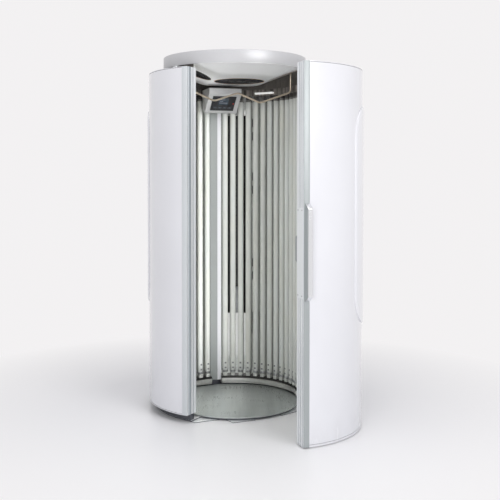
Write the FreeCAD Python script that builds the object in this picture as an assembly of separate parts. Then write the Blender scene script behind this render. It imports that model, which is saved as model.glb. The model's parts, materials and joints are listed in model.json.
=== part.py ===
"""Vertical tanning booth: a fixed back section and left wing, and one hinged door, under a round fan canopy.

Millimetres. +Z is up, the origin is on the booth's axis at floor level, and angles run anticlockwise from +X
as seen from above. The door meets the left wing at the front, towards -Y. The door is built shut and then
turned open about its hinge axis by DOOR_OPEN_ANGLE.
"""
import FreeCAD, Part
import math
import os

V = FreeCAD.Vector
UP = V(0, 0, 1)
AXIS = V(0, 0, 0)

# ---- driving dimensions: plan -------------------------------------------------------------------
SHELL_RADIUS = 550.0        # outside of the curved panels
SECTION_DEPTH = 100.0       # radial thickness of a wall section
FRONT_ANGLE = 270.0         # where the door meets the left wing
HINGE_ANGLE = 34.0          # where the door meets the back section
JUNCTION_ANGLE = 138.0      # where the back section meets the left wing
END_GAP_ANGLE = 0.45        # half of the gap between two section ends
DOOR_OPEN_ANGLE = 47.5      # how far the door stands open
HINGE_STANDOFF = 10.0       # hinge axis outside the panels

# ---- driving dimensions: heights ----------------------------------------------------------------
FOOT_HEIGHT = 4.0
FLOOR_GAP = 0.5             # under the base's thin floor plates
BASE_THICKNESS = 6.0
DRUM_HEIGHT = 6.0
DECK_THICKNESS = 8.0
SECTION_BOTTOM = 50.0       # underside of the fixed sections
DOOR_DROP = 30.0            # how much lower than the fixed sections the door hangs
DOOR_TOE = 14.0             # how far the door's profiles and foot sheet reach below its panel
HEAD_ROOM = 51.0            # over the head rails, up to a section's top
CANOPY_GAP = 25.0           # between the sections' tops and the canopy
CANOPY_HEIGHT = 77.0
TRAY_DEPTH = 60.0           # how far the canopy's underside dips below its band

# ---- sheet, clearances --------------------------------------------------------------------------
SHEET = 3.0
THIN_SHEET = 1.5
SEAT_GAP = 0.3              # between curved faces that seat on each other
PANEL_GAP = 0.5             # between a panel's edge and its profile
LIP_GAP = 2.0               # between a panel's edge and the lips of the foot and head sheets
FIXED_LIP = 5.0             # height of the foot sheets' lips
DOOR_LIP = 12.0
HEAD_LIP = 4.0

# ---- profiles and raised panels -----------------------------------------------------------------
FLANGE_WIDTH = 34.0
PROFILE_FACE = 6.0
PROFILE_WALL = 3.0
GROOVE_WIDTH = 5.0
GROOVE_DEPTH = 3.0
GROOVE_PLACES = (0.30, 0.55, 0.85)      # shares of the section's depth
COLUMN_WIDTH = 76.0
COLUMN_REACH = 10.0         # how far the column stands into the cabin
COLUMN_FLANGE = 108.0
COVER_STRIP_WIDTH = 26.0
RAISED_RANGE = (0.2872, 0.8977)         # of the panel height
RAISED_WIDTH = 372.0
RAISED_DEPTH = 10.0

# ---- lamps --------------------------------------------------------------------------------------
LAMP_RADIUS = 19.0
LAMP_LENGTH = 1900.0
LAMP_PITCH_ANGLE = 7.45
LAMP_WALL_GAP = 3.0         # between a lamp and the reflector
LAMP_NECK_RADIUS = 15.0
LAMP_NECK = 9.0
LAMP_CAP_WALL = 4.0
GLASS_WALL = 1.2
LAMP_BOTTOM = 55.0          # above a section's underside
HOLDER_HEIGHT = 24.0
HOLDER_WIDTH = 26.0
HOLDER_DEPTH = 30.0
RAIL_DEPTH = 45.0           # of the curved rails that carry the holders
TRAY_CLEARANCE = 6.0        # lower rails above the deck
UPPER_RAIL_HEIGHT = 42.0
SLOT_WIDTH = 9.0
SLOT_HEIGHT = 56.0
SLOT_PAIR_PITCH = 92.0
SLOT_LEVELS = (0.195, 0.375, 0.665, 0.845)   # of the panel height, middle of each pair
TALL_SLOT_RANGE = (0.225, 0.892)             # of the panel height
TALL_SLOT_WIDTH = 15.0
TALL_SLOTS = 3              # gaps beside the column that hold one tall slot

# ---- base ---------------------------------------------------------------------------------------
DECK_MARGIN = 38.0          # between the deck's edge and the sections' inner face
BASE_POINT_INSETS = (43.0, 101.0)       # of the floor plate's points from the panels' outside
BASE_POINT_ANGLES = (2.0, 29.0)         # of the points, past the door's start and before its end
BASE_NOTCH = (37.0, 20.0)               # inset from the deck's edge and angle of the notch between points
BASE_SIDES = ((73.0, -11.0), (0.0, 48.0))     # inset and angle where the points run under the booth
DECK_OVERHANG = 14.0        # of the deck over its drum
DRUM_WALL = 18.0
PLINTH_INSETS = (12.0, 50.0)            # of the plinth's two faces: outside the inner face, inside the outer
FOOT_RADIUS = 24.0
FOOT_INSETS = (98.0, 76.0)  # of the pads' two circles, from the drum and from the shells' outside
PLINTH_FEET = (50.0, 100.0, 152.0, 204.0, 254.0)

# ---- hinges -------------------------------------------------------------------------------------
HINGE_LEVELS = (0.15, 0.5, 0.85)             # of the panel height
HINGE_LENGTH = 96.0
KNUCKLE_RADIUS = 9.0
PIN_RADIUS = 5.0
PIN_HEAD_RADIUS = 7.5
PIN_HEAD = 3.0
RUNNING_CLEARANCE = 0.06
KNUCKLE_GAP = 0.4
LEAF_WIDTH = 30.0
LEAF_THICKNESS = 3.0

# ---- canopy and fans ----------------------------------------------------------------------------
CANOPY_INSET = 94.0         # of the canopy's band from the panels' outside
LEDGE_WIDTH = 10.0
LID_SLOTS = 24
KEEL_INSET = 126.0          # of the tray's flat from the canopy's band
TRAY_RIM_WIDTH = 12.0
FOLD_TILT = 21.0
FAN_ROW_ANGLE = 42.5
FAN_ROW_OFFSET = 31.0
FAN_SPACING = 293.0
FOLD_OFFSET = 168.0
MAIN_FAN_RADIUS = 160.0
SIDE_FAN_RADIUS = 115.0
RIM_WIDTH = 3.0
RIM_THICKNESS = 2.5
HUB_RADIUS = 32.0
HUB_HEIGHT = 18.0
BLADE_COUNT = 7
BLADE_PITCH = 32.0
BLADE_TIP_GAP = 10.0
COLLAR_WALL = 2.0
COLLAR_HEIGHT = 32.0
ROTOR_LIFT = 8.0
SHAFT_RADIUS = 4.0
MOTOR_RADIUS = 34.0
MOTOR_HEIGHT = 24.0
MOTOR_GAP = 3.0
LEG_WIDTH = 12.0
GRILLE_RINGS = 6
GRILLE_BAR = 3.0
GRILLE_SPOKES = 6
POST_ANGLES = (45.0, 84.0, 122.0, 165.0, 206.0, 250.0)
POST_WIDTH = 30.0
POST_REACH = 18.0
INTAKE_RADIUS = 431.0       # inside of the slatted ring between the head rails and the tray
INTAKE_CLEARANCE = 3.0
INTAKE_PITCH_ANGLE = 3.0
INTAKE_SLOT_WIDTH = 9.0
INTAKE_MARGIN = 9.0

# ---- control panel ------------------------------------------------------------------------------
CONTROL_TILT = 45.0
CONTROL_REACH = 181.0       # of the display's centre from the column's face
CONTROL_DROP = 156.0        # of the display's centre under the sections' tops
CONTROL_WIDTH = 224.0
CONTROL_BACK_GAP = 59.0     # between the casing's back and the column's face
CONTROL_RISE = 96.0         # of the casing's top over the display's centre
DISPLAY_WIDTH = 164.0
DISPLAY_HEIGHT = 124.0
CONTROL_MARGIN = 20.0
BEZEL_THICKNESS = 3.0
SCREEN_WIDTH = 68.0
SCREEN_HEIGHT = 56.0
SCREEN_RAISE = 0.6
KEY_NAMES = ("start_key", "stop_key", "up_key", "down_key")
KEY_WIDTH = 26.0
KEY_HEIGHT = 16.0
KEY_PITCH = 34.0
KEY_RAISE = 2.0
KEY_ROOT = 3.0              # how far a key reaches into the casing
KEY_TRAVEL = 1.2
KEY_CLEARANCE = 0.3
ARM_WIDTH = 60.0
ARM_HEIGHT = 90.0

# ---- grip rail and light bar --------------------------------------------------------------------
RAIL_ROD_RADIUS = 6.0
RAIL_PLANE = 4 / 15         # behind the booth's axis, as a share of the inner radius
RAIL_VIEW_ANGLE = 30.5      # of the rail's run, from X
RAIL_SHARES = (-0.6844, -0.3, 0.0511, 0.3733, 0.8178)   # of the inner radius, along that run
RAIL_DROPS = (35.0, 116.0, 63.0, 129.0, 59.0)           # of the same corners below the tray's flat
POST_ROD_RADIUS = 7.0
BAR_SPAN = (79.0, 99.5)     # angles of the light bar's two ends
BAR_HEIGHT = 12.0
BAR_DEPTH = 22.0

# ---- door furniture -----------------------------------------------------------------------------
HANDLE_BOTTOM = 804.0
HANDLE_TOP = 1321.0
HANDLE_INSET = 22.0
HANDLE_STANDOFF = 42.0
HANDLE_WIDTH = 26.0
HANDLE_THICKNESS = 9.0
HANDLE_BEND = 26.0
LATCH_BOTTOM = 811.0
LATCH_TOP = 1303.0
LATCH_WIDTH = 84.0
LATCH_THICKNESS = 2.0
LATCH_SCREW_INSET = 14.0
SCREW_RADIUS = 3.5
SCREW_HEAD = 1.6
PULL_BOTTOM = 999.0
PULL_TOP = 1151.0
PULL_REACH = 26.0
SEAL_WIDTH = 12.0
SEAL_THICKNESS = 3.5

# ---- supply -------------------------------------------------------------------------------------
BALLAST_SIZE = (46.0, 70.0, 640.0)
BALLAST_ANGLES = (48.0, 62.0, 106.0, 120.0)
SUPPLY_ANGLE = 84.0
SUPPLY_SIZE = (52.0, 150.0, 260.0)
INLET_HEIGHT = 200.0
INLET_RADIUS = 13.0
INLET_LENGTH = 34.0
INLET_FLANGE = 56.0
INLET_BORE = 6.0

# ---- worked out ---------------------------------------------------------------------------------
PANEL_HEIGHT = LAMP_BOTTOM + LAMP_LENGTH + HOLDER_HEIGHT + UPPER_RAIL_HEIGHT + HEAD_ROOM
INNER_RADIUS = SHELL_RADIUS - SECTION_DEPTH
DECK_RADIUS = INNER_RADIUS - DECK_MARGIN
DRUM_RADIUS = DECK_RADIUS - DECK_OVERHANG
PLINTH_INNER = INNER_RADIUS + PLINTH_INSETS[0]
PLINTH_OUTER = SHELL_RADIUS - PLINTH_INSETS[1]
CANOPY_RADIUS = SHELL_RADIUS - CANOPY_INSET
KEEL_RADIUS = CANOPY_RADIUS - KEEL_INSET
COLUMN_FACE_RADIUS = INNER_RADIUS - COLUMN_REACH - SHEET
LAMP_CIRCLE = INNER_RADIUS - LAMP_WALL_GAP - LAMP_RADIUS
HINGE_RADIUS = SHELL_RADIUS + HINGE_STANDOFF
BASE_TOP = FOOT_HEIGHT + BASE_THICKNESS
DRUM_TOP = BASE_TOP + DRUM_HEIGHT
DECK_TOP = DRUM_TOP + DECK_THICKNESS
DOOR_BOTTOM = SECTION_BOTTOM - DOOR_DROP
DOOR_FOOT = DOOR_BOTTOM - DOOR_TOE
DOOR_TOP = DOOR_BOTTOM + PANEL_HEIGHT
SECTION_TOP = SECTION_BOTTOM + PANEL_HEIGHT
HEAD_RAIL_TOP = SECTION_TOP - HEAD_ROOM
CONTROL_RADIUS = COLUMN_FACE_RADIUS - CONTROL_REACH
CONTROL_BACK_RADIUS = COLUMN_FACE_RADIUS - CONTROL_BACK_GAP
CONTROL_HEIGHT = SECTION_TOP - CONTROL_DROP
CONTROL_TOP = CONTROL_HEIGHT + CONTROL_RISE
CANOPY_BOTTOM = SECTION_TOP + CANOPY_GAP
CANOPY_TOP = CANOPY_BOTTOM + CANOPY_HEIGHT
KEEL = CANOPY_BOTTOM - TRAY_DEPTH
TRAY_RADIUS = CANOPY_RADIUS - SHEET - SEAT_GAP
LID_BOTTOM = CANOPY_TOP - SHEET
TRAY_TOP = LID_BOTTOM - 2 * SHEET - SEAT_GAP
FLANGE_ANGLE = math.degrees(math.asin((FLANGE_WIDTH + PANEL_GAP) / SHELL_RADIUS))
COLUMN_ANGLE = math.degrees(math.asin((COLUMN_WIDTH / 2 + PANEL_GAP) / COLUMN_FACE_RADIUS))
LEFT_END = FRONT_ANGLE - END_GAP_ANGLE
BACK_START = HINGE_ANGLE + END_GAP_ANGLE
DOOR_START = FRONT_ANGLE + END_GAP_ANGLE
DOOR_END = 360.0 + HINGE_ANGLE - END_GAP_ANGLE

os.makedirs("parts", exist_ok=True)


def save(name, shape):
    """Write one node's solids to its own file."""
    shape.exportStep(f"parts/{name}.step")


def group(shapes):
    """Separate solids that share a node."""
    return Part.makeCompound(list(shapes))


def fuse(shapes):
    """One solid from several that touch or overlap."""
    first, *rest = shapes
    return first.fuse(rest).removeSplitter() if rest else first


def box(x0, x1, y0, y1, z0, z1):
    """A box between two corners."""
    return Part.makeBox(x1 - x0, y1 - y0, z1 - z0, V(x0, y0, z0))


def cylinder(radius, z0, z1, x=0.0, y=0.0):
    """An upright cylinder."""
    return Part.makeCylinder(radius, z1 - z0, V(x, y, z0))


def ring(inner, outer, z0, z1):
    """An upright tube about the Z axis."""
    return cylinder(outer, z0, z1).cut(cylinder(inner, z0 - 1, z1 + 1))


def radial_rod(radius, start, length, z):
    """A cylinder that lies along X at a height."""
    return Part.makeCylinder(radius, length, V(start, 0, z), V(1, 0, 0))


def turned(shape, angle, about=AXIS):
    """A copy turned about a vertical line."""
    copy = shape.copy()
    copy.rotate(about, UP, angle)
    return copy


def opened(shape):
    """A door piece turned from shut to where the door stands."""
    return turned(shape, DOOR_OPEN_ANGLE, HINGE)


def polar(radius, angle, z=0.0):
    """A point at a radius and angle about the booth's axis."""
    return V(radius * math.cos(math.radians(angle)), radius * math.sin(math.radians(angle)), z)


HINGE = polar(HINGE_RADIUS, HINGE_ANGLE)


def sector(inner, outer, start, end, z0, z1):
    """A curved wall between two radii and two angles."""
    height = z1 - z0
    span = end - start
    wall = Part.makeCylinder(outer, height, V(0, 0, z0), UP, span)
    core = cylinder(inner, z0 - 1, z1 + 1)
    return turned(wall.cut(core), start)


def prism(points, height, z0):
    """An upright prism on a closed outline of (x, y) points."""
    corners = [V(x, y, z0) for x, y in points]
    return Part.Face(Part.makePolygon(corners + corners[:1])).extrude(V(0, 0, height))


def side_prism(points, width):
    """A prism across Y on a closed outline of (x, z) points, centred on y = 0."""
    corners = [V(x, -width / 2, z) for x, z in points]
    return Part.Face(Part.makePolygon(corners + corners[:1])).extrude(V(0, width, 0))


# ---- wall sections ------------------------------------------------------------------------------
def lamp_angles(start, end):
    """Lamps spread evenly between two angles, near the nominal pitch."""
    count = round((end - start) / LAMP_PITCH_ANGLE)
    pitch = (end - start) / count
    return [start + pitch * (i + 0.5) for i in range(count)]


def gap_angles(start, end):
    """The gaps between neighbouring lamps."""
    lamps = lamp_angles(start, end)
    return [(a + b) / 2 for a, b in zip(lamps, lamps[1:])]


def shell(start, end, bottom, foot, lip):
    """The painted outer panel, between the lips of the foot and head sheets."""
    low = foot + lip + LIP_GAP
    high = bottom + PANEL_HEIGHT - HEAD_LIP - LIP_GAP
    return sector(SHELL_RADIUS - SHEET, SHELL_RADIUS, start, end, low, high)


def raised_panel(middle, bottom):
    """The stadium-shaped panel that stands proud of a section's outer face."""
    half = RAISED_WIDTH / 2
    low, high = (bottom + share * PANEL_HEIGHT for share in RAISED_RANGE)
    reach = SHELL_RADIUS + RAISED_DEPTH
    block = box(0, reach * 2, -half, half, low + half, high - half)
    ends = [radial_rod(half, 0, reach * 2, z) for z in (low + half, high - half)]
    outline = fuse([block, *ends])
    span = 60.0
    skin = sector(SHELL_RADIUS + SEAT_GAP / 3, reach, -span / 2, span / 2, low - 1, high + 1)
    panel = skin.common(outline)
    outer_edges = [e for e in panel.Edges if all(math.hypot(v.X, v.Y) > reach - 0.1 for v in e.Vertexes)]
    return turned(panel.makeFillet(RAISED_DEPTH * 0.6, outer_edges), middle)


def slot(angle, width, z0, z1):
    """A cutter for one upright vent slot through the reflector."""
    cut = box(INNER_RADIUS - SHEET, INNER_RADIUS + SHEET, -width / 2, width / 2, z0, z1)
    return turned(cut, angle)


def reflector(start, end, bottom, foot, tall_from_end):
    """The curved reflector behind the lamps, with its vent slots."""
    top = bottom + PANEL_HEIGHT - SHEET
    sheet = sector(INNER_RADIUS, INNER_RADIUS + THIN_SHEET, start, end, foot + SHEET, top)
    gaps = gap_angles(start, end)
    tall = gaps[-TALL_SLOTS:] if tall_from_end else []
    low, high = (bottom + share * PANEL_HEIGHT for share in TALL_SLOT_RANGE)
    cuts = [slot(a, TALL_SLOT_WIDTH, low, high) for a in tall]
    for angle in [a for a in gaps if a not in tall]:
        for level in SLOT_LEVELS:
            for side in (-0.5, 0.5):
                middle = bottom + level * PANEL_HEIGHT + side * SLOT_PAIR_PITCH
                cuts.append(slot(angle, SLOT_WIDTH, middle - SLOT_HEIGHT / 2, middle + SLOT_HEIGHT / 2))
    return sheet.cut(cuts)


def lamps(start, end, bottom):
    """Upright glass tubes with narrower, thicker end caps."""
    low = bottom + LAMP_BOTTOM
    high = low + LAMP_LENGTH
    tubes = []
    for angle in lamp_angles(start, end):
        glass = cylinder(LAMP_RADIUS, low + LAMP_NECK, high - LAMP_NECK)
        neck = cylinder(LAMP_NECK_RADIUS, low, high)
        bores = [cylinder(LAMP_RADIUS - GLASS_WALL, low + 2 * LAMP_NECK, high - 2 * LAMP_NECK),
                 cylinder(LAMP_NECK_RADIUS - LAMP_CAP_WALL, low - 1, high + 1)]
        tube = fuse([glass, neck]).cut(bores)
        tube.translate(polar(LAMP_CIRCLE, angle))
        tubes.append(tube)
    return group(tubes)


def lamp_holders(start, end, bottom):
    """A holder under and over every lamp."""
    low = bottom + LAMP_BOTTOM
    high = low + LAMP_LENGTH
    x0 = LAMP_CIRCLE - HOLDER_DEPTH / 2
    half = HOLDER_WIDTH / 2
    pair = [box(x0, x0 + HOLDER_DEPTH, -half, half, low - HOLDER_HEIGHT, low),
            box(x0, x0 + HOLDER_DEPTH, -half, half, high, high + HOLDER_HEIGHT)]
    return group(turned(holder, a) for a in lamp_angles(start, end) for holder in pair)


def lamp_rails(start, end, bottom):
    """The curved rails that the holders are fixed to, at the foot and the head of the lamps."""
    outer = INNER_RADIUS - SEAT_GAP
    low = bottom + LAMP_BOTTOM - HOLDER_HEIGHT
    high = bottom + LAMP_BOTTOM + LAMP_LENGTH + HOLDER_HEIGHT
    foot = sector(outer - RAIL_DEPTH, outer, start, end, DECK_TOP + TRAY_CLEARANCE, low)
    head = sector(outer - RAIL_DEPTH, outer, start, end, high, high + UPPER_RAIL_HEIGHT)
    return group([foot, head])


def end_caps(lamp_span, shell_span, bottom, foot, lip):
    """The sheets that close a section at its foot and its head, each with a lip in line with the panel."""
    inner = INNER_RADIUS + THIN_SHEET + SEAT_GAP
    outer = SHELL_RADIUS - SHEET
    top = bottom + PANEL_HEIGHT
    low = fuse([sector(inner, SHELL_RADIUS, *lamp_span, foot, foot + SHEET),
                sector(outer, SHELL_RADIUS, *shell_span, foot, foot + lip)])
    high = fuse([sector(inner, SHELL_RADIUS, *lamp_span, top - SHEET, top),
                 sector(outer, SHELL_RADIUS, *shell_span, top - HEAD_LIP, top)])
    return group([low, high])


def end_profile(angle, side, foot, top):
    """An aluminium channel at a section's end. Its grooved face looks along the gap, and side is +1 where
    the section lies on the side of larger angles."""
    def across(x0, x1, t0, t1):
        low, high = sorted((side * t0, side * t1))
        return box(x0, x1, low, high, foot, top)

    body = across(INNER_RADIUS, SHELL_RADIUS, 0, FLANGE_WIDTH)
    pocket = across(INNER_RADIUS + PROFILE_WALL, SHELL_RADIUS - PROFILE_WALL, PROFILE_FACE, FLANGE_WIDTH + 1)
    cuts = [pocket]
    for share in GROOVE_PLACES:
        x = INNER_RADIUS + share * SECTION_DEPTH
        cuts.append(across(x - GROOVE_WIDTH / 2, x + GROOVE_WIDTH / 2, -1, GROOVE_DEPTH))
    return turned(body.cut(cuts), angle)


def junction_column():
    """The hollow post between the back section and the left wing, with its outside flange."""
    inner = INNER_RADIUS - COLUMN_REACH
    half = COLUMN_WIDTH / 2
    outer = math.sqrt((SHELL_RADIUS - SHEET - SEAT_GAP) ** 2 - half ** 2)
    post = box(inner, outer, -half, half, SECTION_BOTTOM, SECTION_TOP)
    bore = box(inner + PROFILE_WALL, outer - PROFILE_WALL, -half + PROFILE_WALL, half - PROFILE_WALL,
               SECTION_BOTTOM - 1, SECTION_TOP + 1)
    return turned(post.cut(bore), JUNCTION_ANGLE)


def junction_strips():
    """The white strip on the column's face in the cabin, and the cover over the panels' joint outside."""
    side = -COLUMN_WIDTH / 2
    strip = box(COLUMN_FACE_RADIUS, COLUMN_FACE_RADIUS + SHEET, side, side + COVER_STRIP_WIDTH,
                SECTION_BOTTOM, SECTION_TOP)
    half = math.degrees(COLUMN_FLANGE / 2 / SHELL_RADIUS)
    cover = sector(SHELL_RADIUS + SEAT_GAP / 3, SHELL_RADIUS + SHEET, -half, half,
                   SECTION_BOTTOM, SECTION_TOP)
    return group(turned(piece, JUNCTION_ANGLE) for piece in (strip, cover))


def section(name, bottom, foot, lip, shell_span, lamp_span, place=lambda shape: shape, bored=None):
    """Every piece of one wall section except its profiles."""
    middle = sum(shell_span) / 2
    panel = shell(*shell_span, bottom, foot, lip)
    save(f"{name}_shell", place(panel.cut(bored) if bored else panel))
    save(f"{name}_raised_panel", place(raised_panel(middle, bottom)))
    save(f"{name}_reflector", place(reflector(*lamp_span, bottom, foot, name == "back")))
    save(f"{name}_lamps", place(lamps(*lamp_span, bottom)))
    save(f"{name}_lamp_holders", place(lamp_holders(*lamp_span, bottom)))
    save(f"{name}_lamp_rails", place(lamp_rails(*lamp_span, bottom)))
    save(f"{name}_end_caps", place(end_caps(lamp_span, shell_span, bottom, foot, lip)))


PROFILE_ANGLE = math.degrees(math.asin((FLANGE_WIDTH + PANEL_GAP) / INNER_RADIUS))


def inlet_hole():
    """The hole in the back panel for the mains inlet."""
    return turned(radial_rod(INLET_RADIUS + RUNNING_CLEARANCE, SHELL_RADIUS - INLET_LENGTH, 2 * INLET_LENGTH,
                             INLET_HEIGHT), SUPPLY_ANGLE)


section("back", SECTION_BOTTOM, SECTION_BOTTOM, FIXED_LIP, (BACK_START + FLANGE_ANGLE, JUNCTION_ANGLE - 0.05),
        (BACK_START + PROFILE_ANGLE, JUNCTION_ANGLE - COLUMN_ANGLE), bored=inlet_hole())
section("left", SECTION_BOTTOM, SECTION_BOTTOM, FIXED_LIP, (JUNCTION_ANGLE + 0.05, LEFT_END - FLANGE_ANGLE),
        (JUNCTION_ANGLE + COLUMN_ANGLE, LEFT_END - PROFILE_ANGLE))
section("door", DOOR_BOTTOM, DOOR_FOOT, DOOR_LIP, (DOOR_START + FLANGE_ANGLE, DOOR_END - FLANGE_ANGLE),
        (DOOR_START + PROFILE_ANGLE, DOOR_END - PROFILE_ANGLE), place=opened)
save("back_hinge_profile", end_profile(BACK_START, 1, SECTION_BOTTOM, SECTION_TOP))
save("left_end_profile", end_profile(LEFT_END, -1, SECTION_BOTTOM, SECTION_TOP))
save("door_latch_profile", opened(end_profile(DOOR_START, 1, DOOR_FOOT, DOOR_TOP)))
save("door_hinge_profile", opened(end_profile(DOOR_END, -1, DOOR_FOOT, DOOR_TOP)))
save("junction_column", junction_column())
save("junction_strips", junction_strips())


# ---- base ---------------------------------------------------------------------------------------
def floor_points(side):
    """The floor plate's two points beside one end of the doorway. Side is +1 at the door's start and -1 at
    its end, where the outline is the mirror image."""
    start = DOOR_START if side > 0 else DOOR_END
    near_inset, near_angle = BASE_SIDES[0]
    far_inset, far_angle = BASE_SIDES[1]
    notch_inset, notch_angle = BASE_NOTCH
    places = [(SHELL_RADIUS - near_inset, near_angle)]
    places.append((SHELL_RADIUS - BASE_POINT_INSETS[0], BASE_POINT_ANGLES[0]))
    places.append((DECK_RADIUS - notch_inset, notch_angle))
    places.append((SHELL_RADIUS - BASE_POINT_INSETS[1], BASE_POINT_ANGLES[1]))
    places.append((DECK_RADIUS - far_inset, far_angle))
    places += [(DRUM_RADIUS - DRUM_WALL, far_angle), (DRUM_RADIUS - DRUM_WALL, near_angle)]
    outline = [polar(radius, start + side * angle) for radius, angle in places]
    return prism([(p.x, p.y) for p in outline], FOOT_HEIGHT - FLOOR_GAP, FLOOR_GAP)


def base_frame():
    """The base plate with the drum under the deck, and the thin pointed plates at the doorway's ends."""
    plate = cylinder(DRUM_RADIUS, FOOT_HEIGHT, BASE_TOP)
    round_part = sector(1.0, PLINTH_OUTER, BACK_START, LEFT_END, FOOT_HEIGHT, BASE_TOP)
    drum = ring(DRUM_RADIUS - DRUM_WALL, DRUM_RADIUS, BASE_TOP, DRUM_TOP)
    return fuse([plate, round_part, floor_points(1), floor_points(-1), drum])


def feet():
    """Flat pads under the middle, under the deck and under the plinth."""
    inner, outer = DRUM_RADIUS - FOOT_INSETS[0], SHELL_RADIUS - FOOT_INSETS[1]
    places = [AXIS] + [polar(inner, DOOR_START + 60 * i) for i in range(6)]
    places += [polar(outer, angle) for angle in PLINTH_FEET]
    return group([cylinder(FOOT_RADIUS, 0, FOOT_HEIGHT, p.x, p.y) for p in places])


save("base_frame", base_frame())
save("floor_pads", feet())
save("deck_plate", cylinder(DECK_RADIUS, DRUM_TOP, DECK_TOP))
save("plinth_ring", sector(PLINTH_INNER, PLINTH_OUTER, BACK_START + 1, LEFT_END - 1,
                           BASE_TOP, SECTION_BOTTOM))


# ---- hinges -------------------------------------------------------------------------------------
def hinge_levels():
    """Middle heights of the hinges, shared by the fixed section and the door."""
    return [SECTION_BOTTOM + share * PANEL_HEIGHT for share in HINGE_LEVELS]


def hinge_leaf(angle, side, z0, z1, knuckles):
    """A leaf flat on a profile's flange, with the knuckles that its side of the hinge holds."""
    near, far = sorted((side * PROFILE_FACE / 2, side * LEAF_WIDTH))
    pieces = [turned(box(SHELL_RADIUS, SHELL_RADIUS + LEAF_THICKNESS, near, far, z0, z1), angle)]
    web_foot = HINGE_RADIUS - KNUCKLE_RADIUS
    near, far = sorted((0, side * LEAF_WIDTH / 2))
    for k0, k1 in knuckles:
        pieces.append(cylinder(KNUCKLE_RADIUS, k0, k1, HINGE.x, HINGE.y))
        pieces.append(turned(box(web_foot, web_foot + LEAF_THICKNESS, near, far, k0, k1), HINGE_ANGLE))
    bore = cylinder(PIN_RADIUS + RUNNING_CLEARANCE, z0 - 1, z1 + 1, HINGE.x, HINGE.y)
    return fuse(pieces).cut(bore)


def hinges():
    """Fixed leaves, door leaves and pins."""
    fixed, moving, pins = [], [], []
    for middle in hinge_levels():
        low = middle - HINGE_LENGTH / 2
        high = middle + HINGE_LENGTH / 2
        third = HINGE_LENGTH / 3
        fixed.append(hinge_leaf(BACK_START, 1, low, high, [(low, low + third), (high - third, high)]))
        moving.append(opened(hinge_leaf(DOOR_END, -1, low, high,
                                        [(low + third + KNUCKLE_GAP, high - third - KNUCKLE_GAP)])))
        pin = cylinder(PIN_RADIUS, low, high, HINGE.x, HINGE.y)
        head = cylinder(PIN_HEAD_RADIUS, high, high + PIN_HEAD, HINGE.x, HINGE.y)
        pins.append(fuse([pin, head]))
    return group(fixed), group(moving), group(pins)


fixed_leaves, door_leaves, hinge_pins = hinges()
save("fixed_hinge_leaves", fixed_leaves)
save("door_hinge_leaves", door_leaves)
save("hinge_pins", hinge_pins)


# ---- canopy -------------------------------------------------------------------------------------
def revolved(points):
    """A solid of revolution about the booth's axis on a closed outline of (radius, z) points."""
    corners = [V(r, 0, z) for r, z in points]
    return Part.Face(Part.makePolygon(corners + corners[:1])).revolve(AXIS, UP, 360)


def facet_cut(side, lift):
    """The space under one raised side facet of the canopy's tray."""
    fold = FAN_ROW_OFFSET + side * FOLD_OFFSET
    block = box(0, 2 * CANOPY_RADIUS, -CANOPY_RADIUS, CANOPY_RADIUS, -CANOPY_RADIUS, 0)
    block.rotate(AXIS, V(0, 1, 0), -FOLD_TILT)
    if side < 0:
        block.rotate(AXIS, UP, 180)
    block.translate(V(fold, 0, KEEL + lift))
    return turned(block, FAN_ROW_ANGLE)


def dish(inset, top):
    """The tray's outside form, or with an inset its inside form, which reaches higher."""
    radius = TRAY_RADIUS - inset
    rim = CANOPY_BOTTOM + inset
    form = revolved([(0, KEEL + inset), (KEEL_RADIUS, KEEL + inset), (TRAY_RADIUS - TRAY_RIM_WIDTH, rim),
                     (radius, rim), (radius, top), (0, top)])
    lift = inset / math.cos(math.radians(FOLD_TILT))
    return form.cut([facet_cut(-1, lift), facet_cut(1, lift)])


def fan_frames():
    """Place and radius of the three fans: their row runs across the tray's flat and its two facets."""
    frames = []
    for side, radius in ((-1, SIDE_FAN_RADIUS), (0, MAIN_FAN_RADIUS), (1, SIDE_FAN_RADIUS)):
        along = FAN_ROW_OFFSET + side * FAN_SPACING
        rise = (FAN_SPACING - FOLD_OFFSET) * math.tan(math.radians(FOLD_TILT)) if side else 0.0
        turn = FreeCAD.Rotation(UP, FAN_ROW_ANGLE)
        tilt = FreeCAD.Rotation(V(0, 1, 0), -side * FOLD_TILT)
        place = turn.multVec(V(along, 0, KEEL + rise))
        frames.append((FreeCAD.Placement(place, turn.multiply(tilt)), radius))
    return frames


def placed(shape, frame):
    """A copy of a fan piece moved from its own frame to its place on the tray."""
    copy = shape.copy()
    copy.Placement = frame.multiply(copy.Placement)
    return copy


def fan_rim(radius):
    """The coloured ring around a fan's opening."""
    return ring(radius - RIM_WIDTH / 2, radius + RIM_WIDTH, -RIM_THICKNESS, 0)


def fan_grille(radius):
    """Concentric rings on spokes, set in the fan's opening."""
    outer = radius - SEAT_GAP
    pitch = (outer - HUB_RADIUS) / GRILLE_RINGS
    rings = [ring(outer - pitch * i - GRILLE_BAR, outer - pitch * i, 0, SHEET) for i in range(GRILLE_RINGS)]
    spoke = box(0, outer - GRILLE_BAR / 2, -GRILLE_BAR / 2, GRILLE_BAR / 2, 0, SHEET)
    spokes = [turned(spoke, 360 * i / GRILLE_SPOKES) for i in range(GRILLE_SPOKES)]
    return fuse([cylinder(HUB_RADIUS, 0, SHEET), *rings, *spokes])


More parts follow.
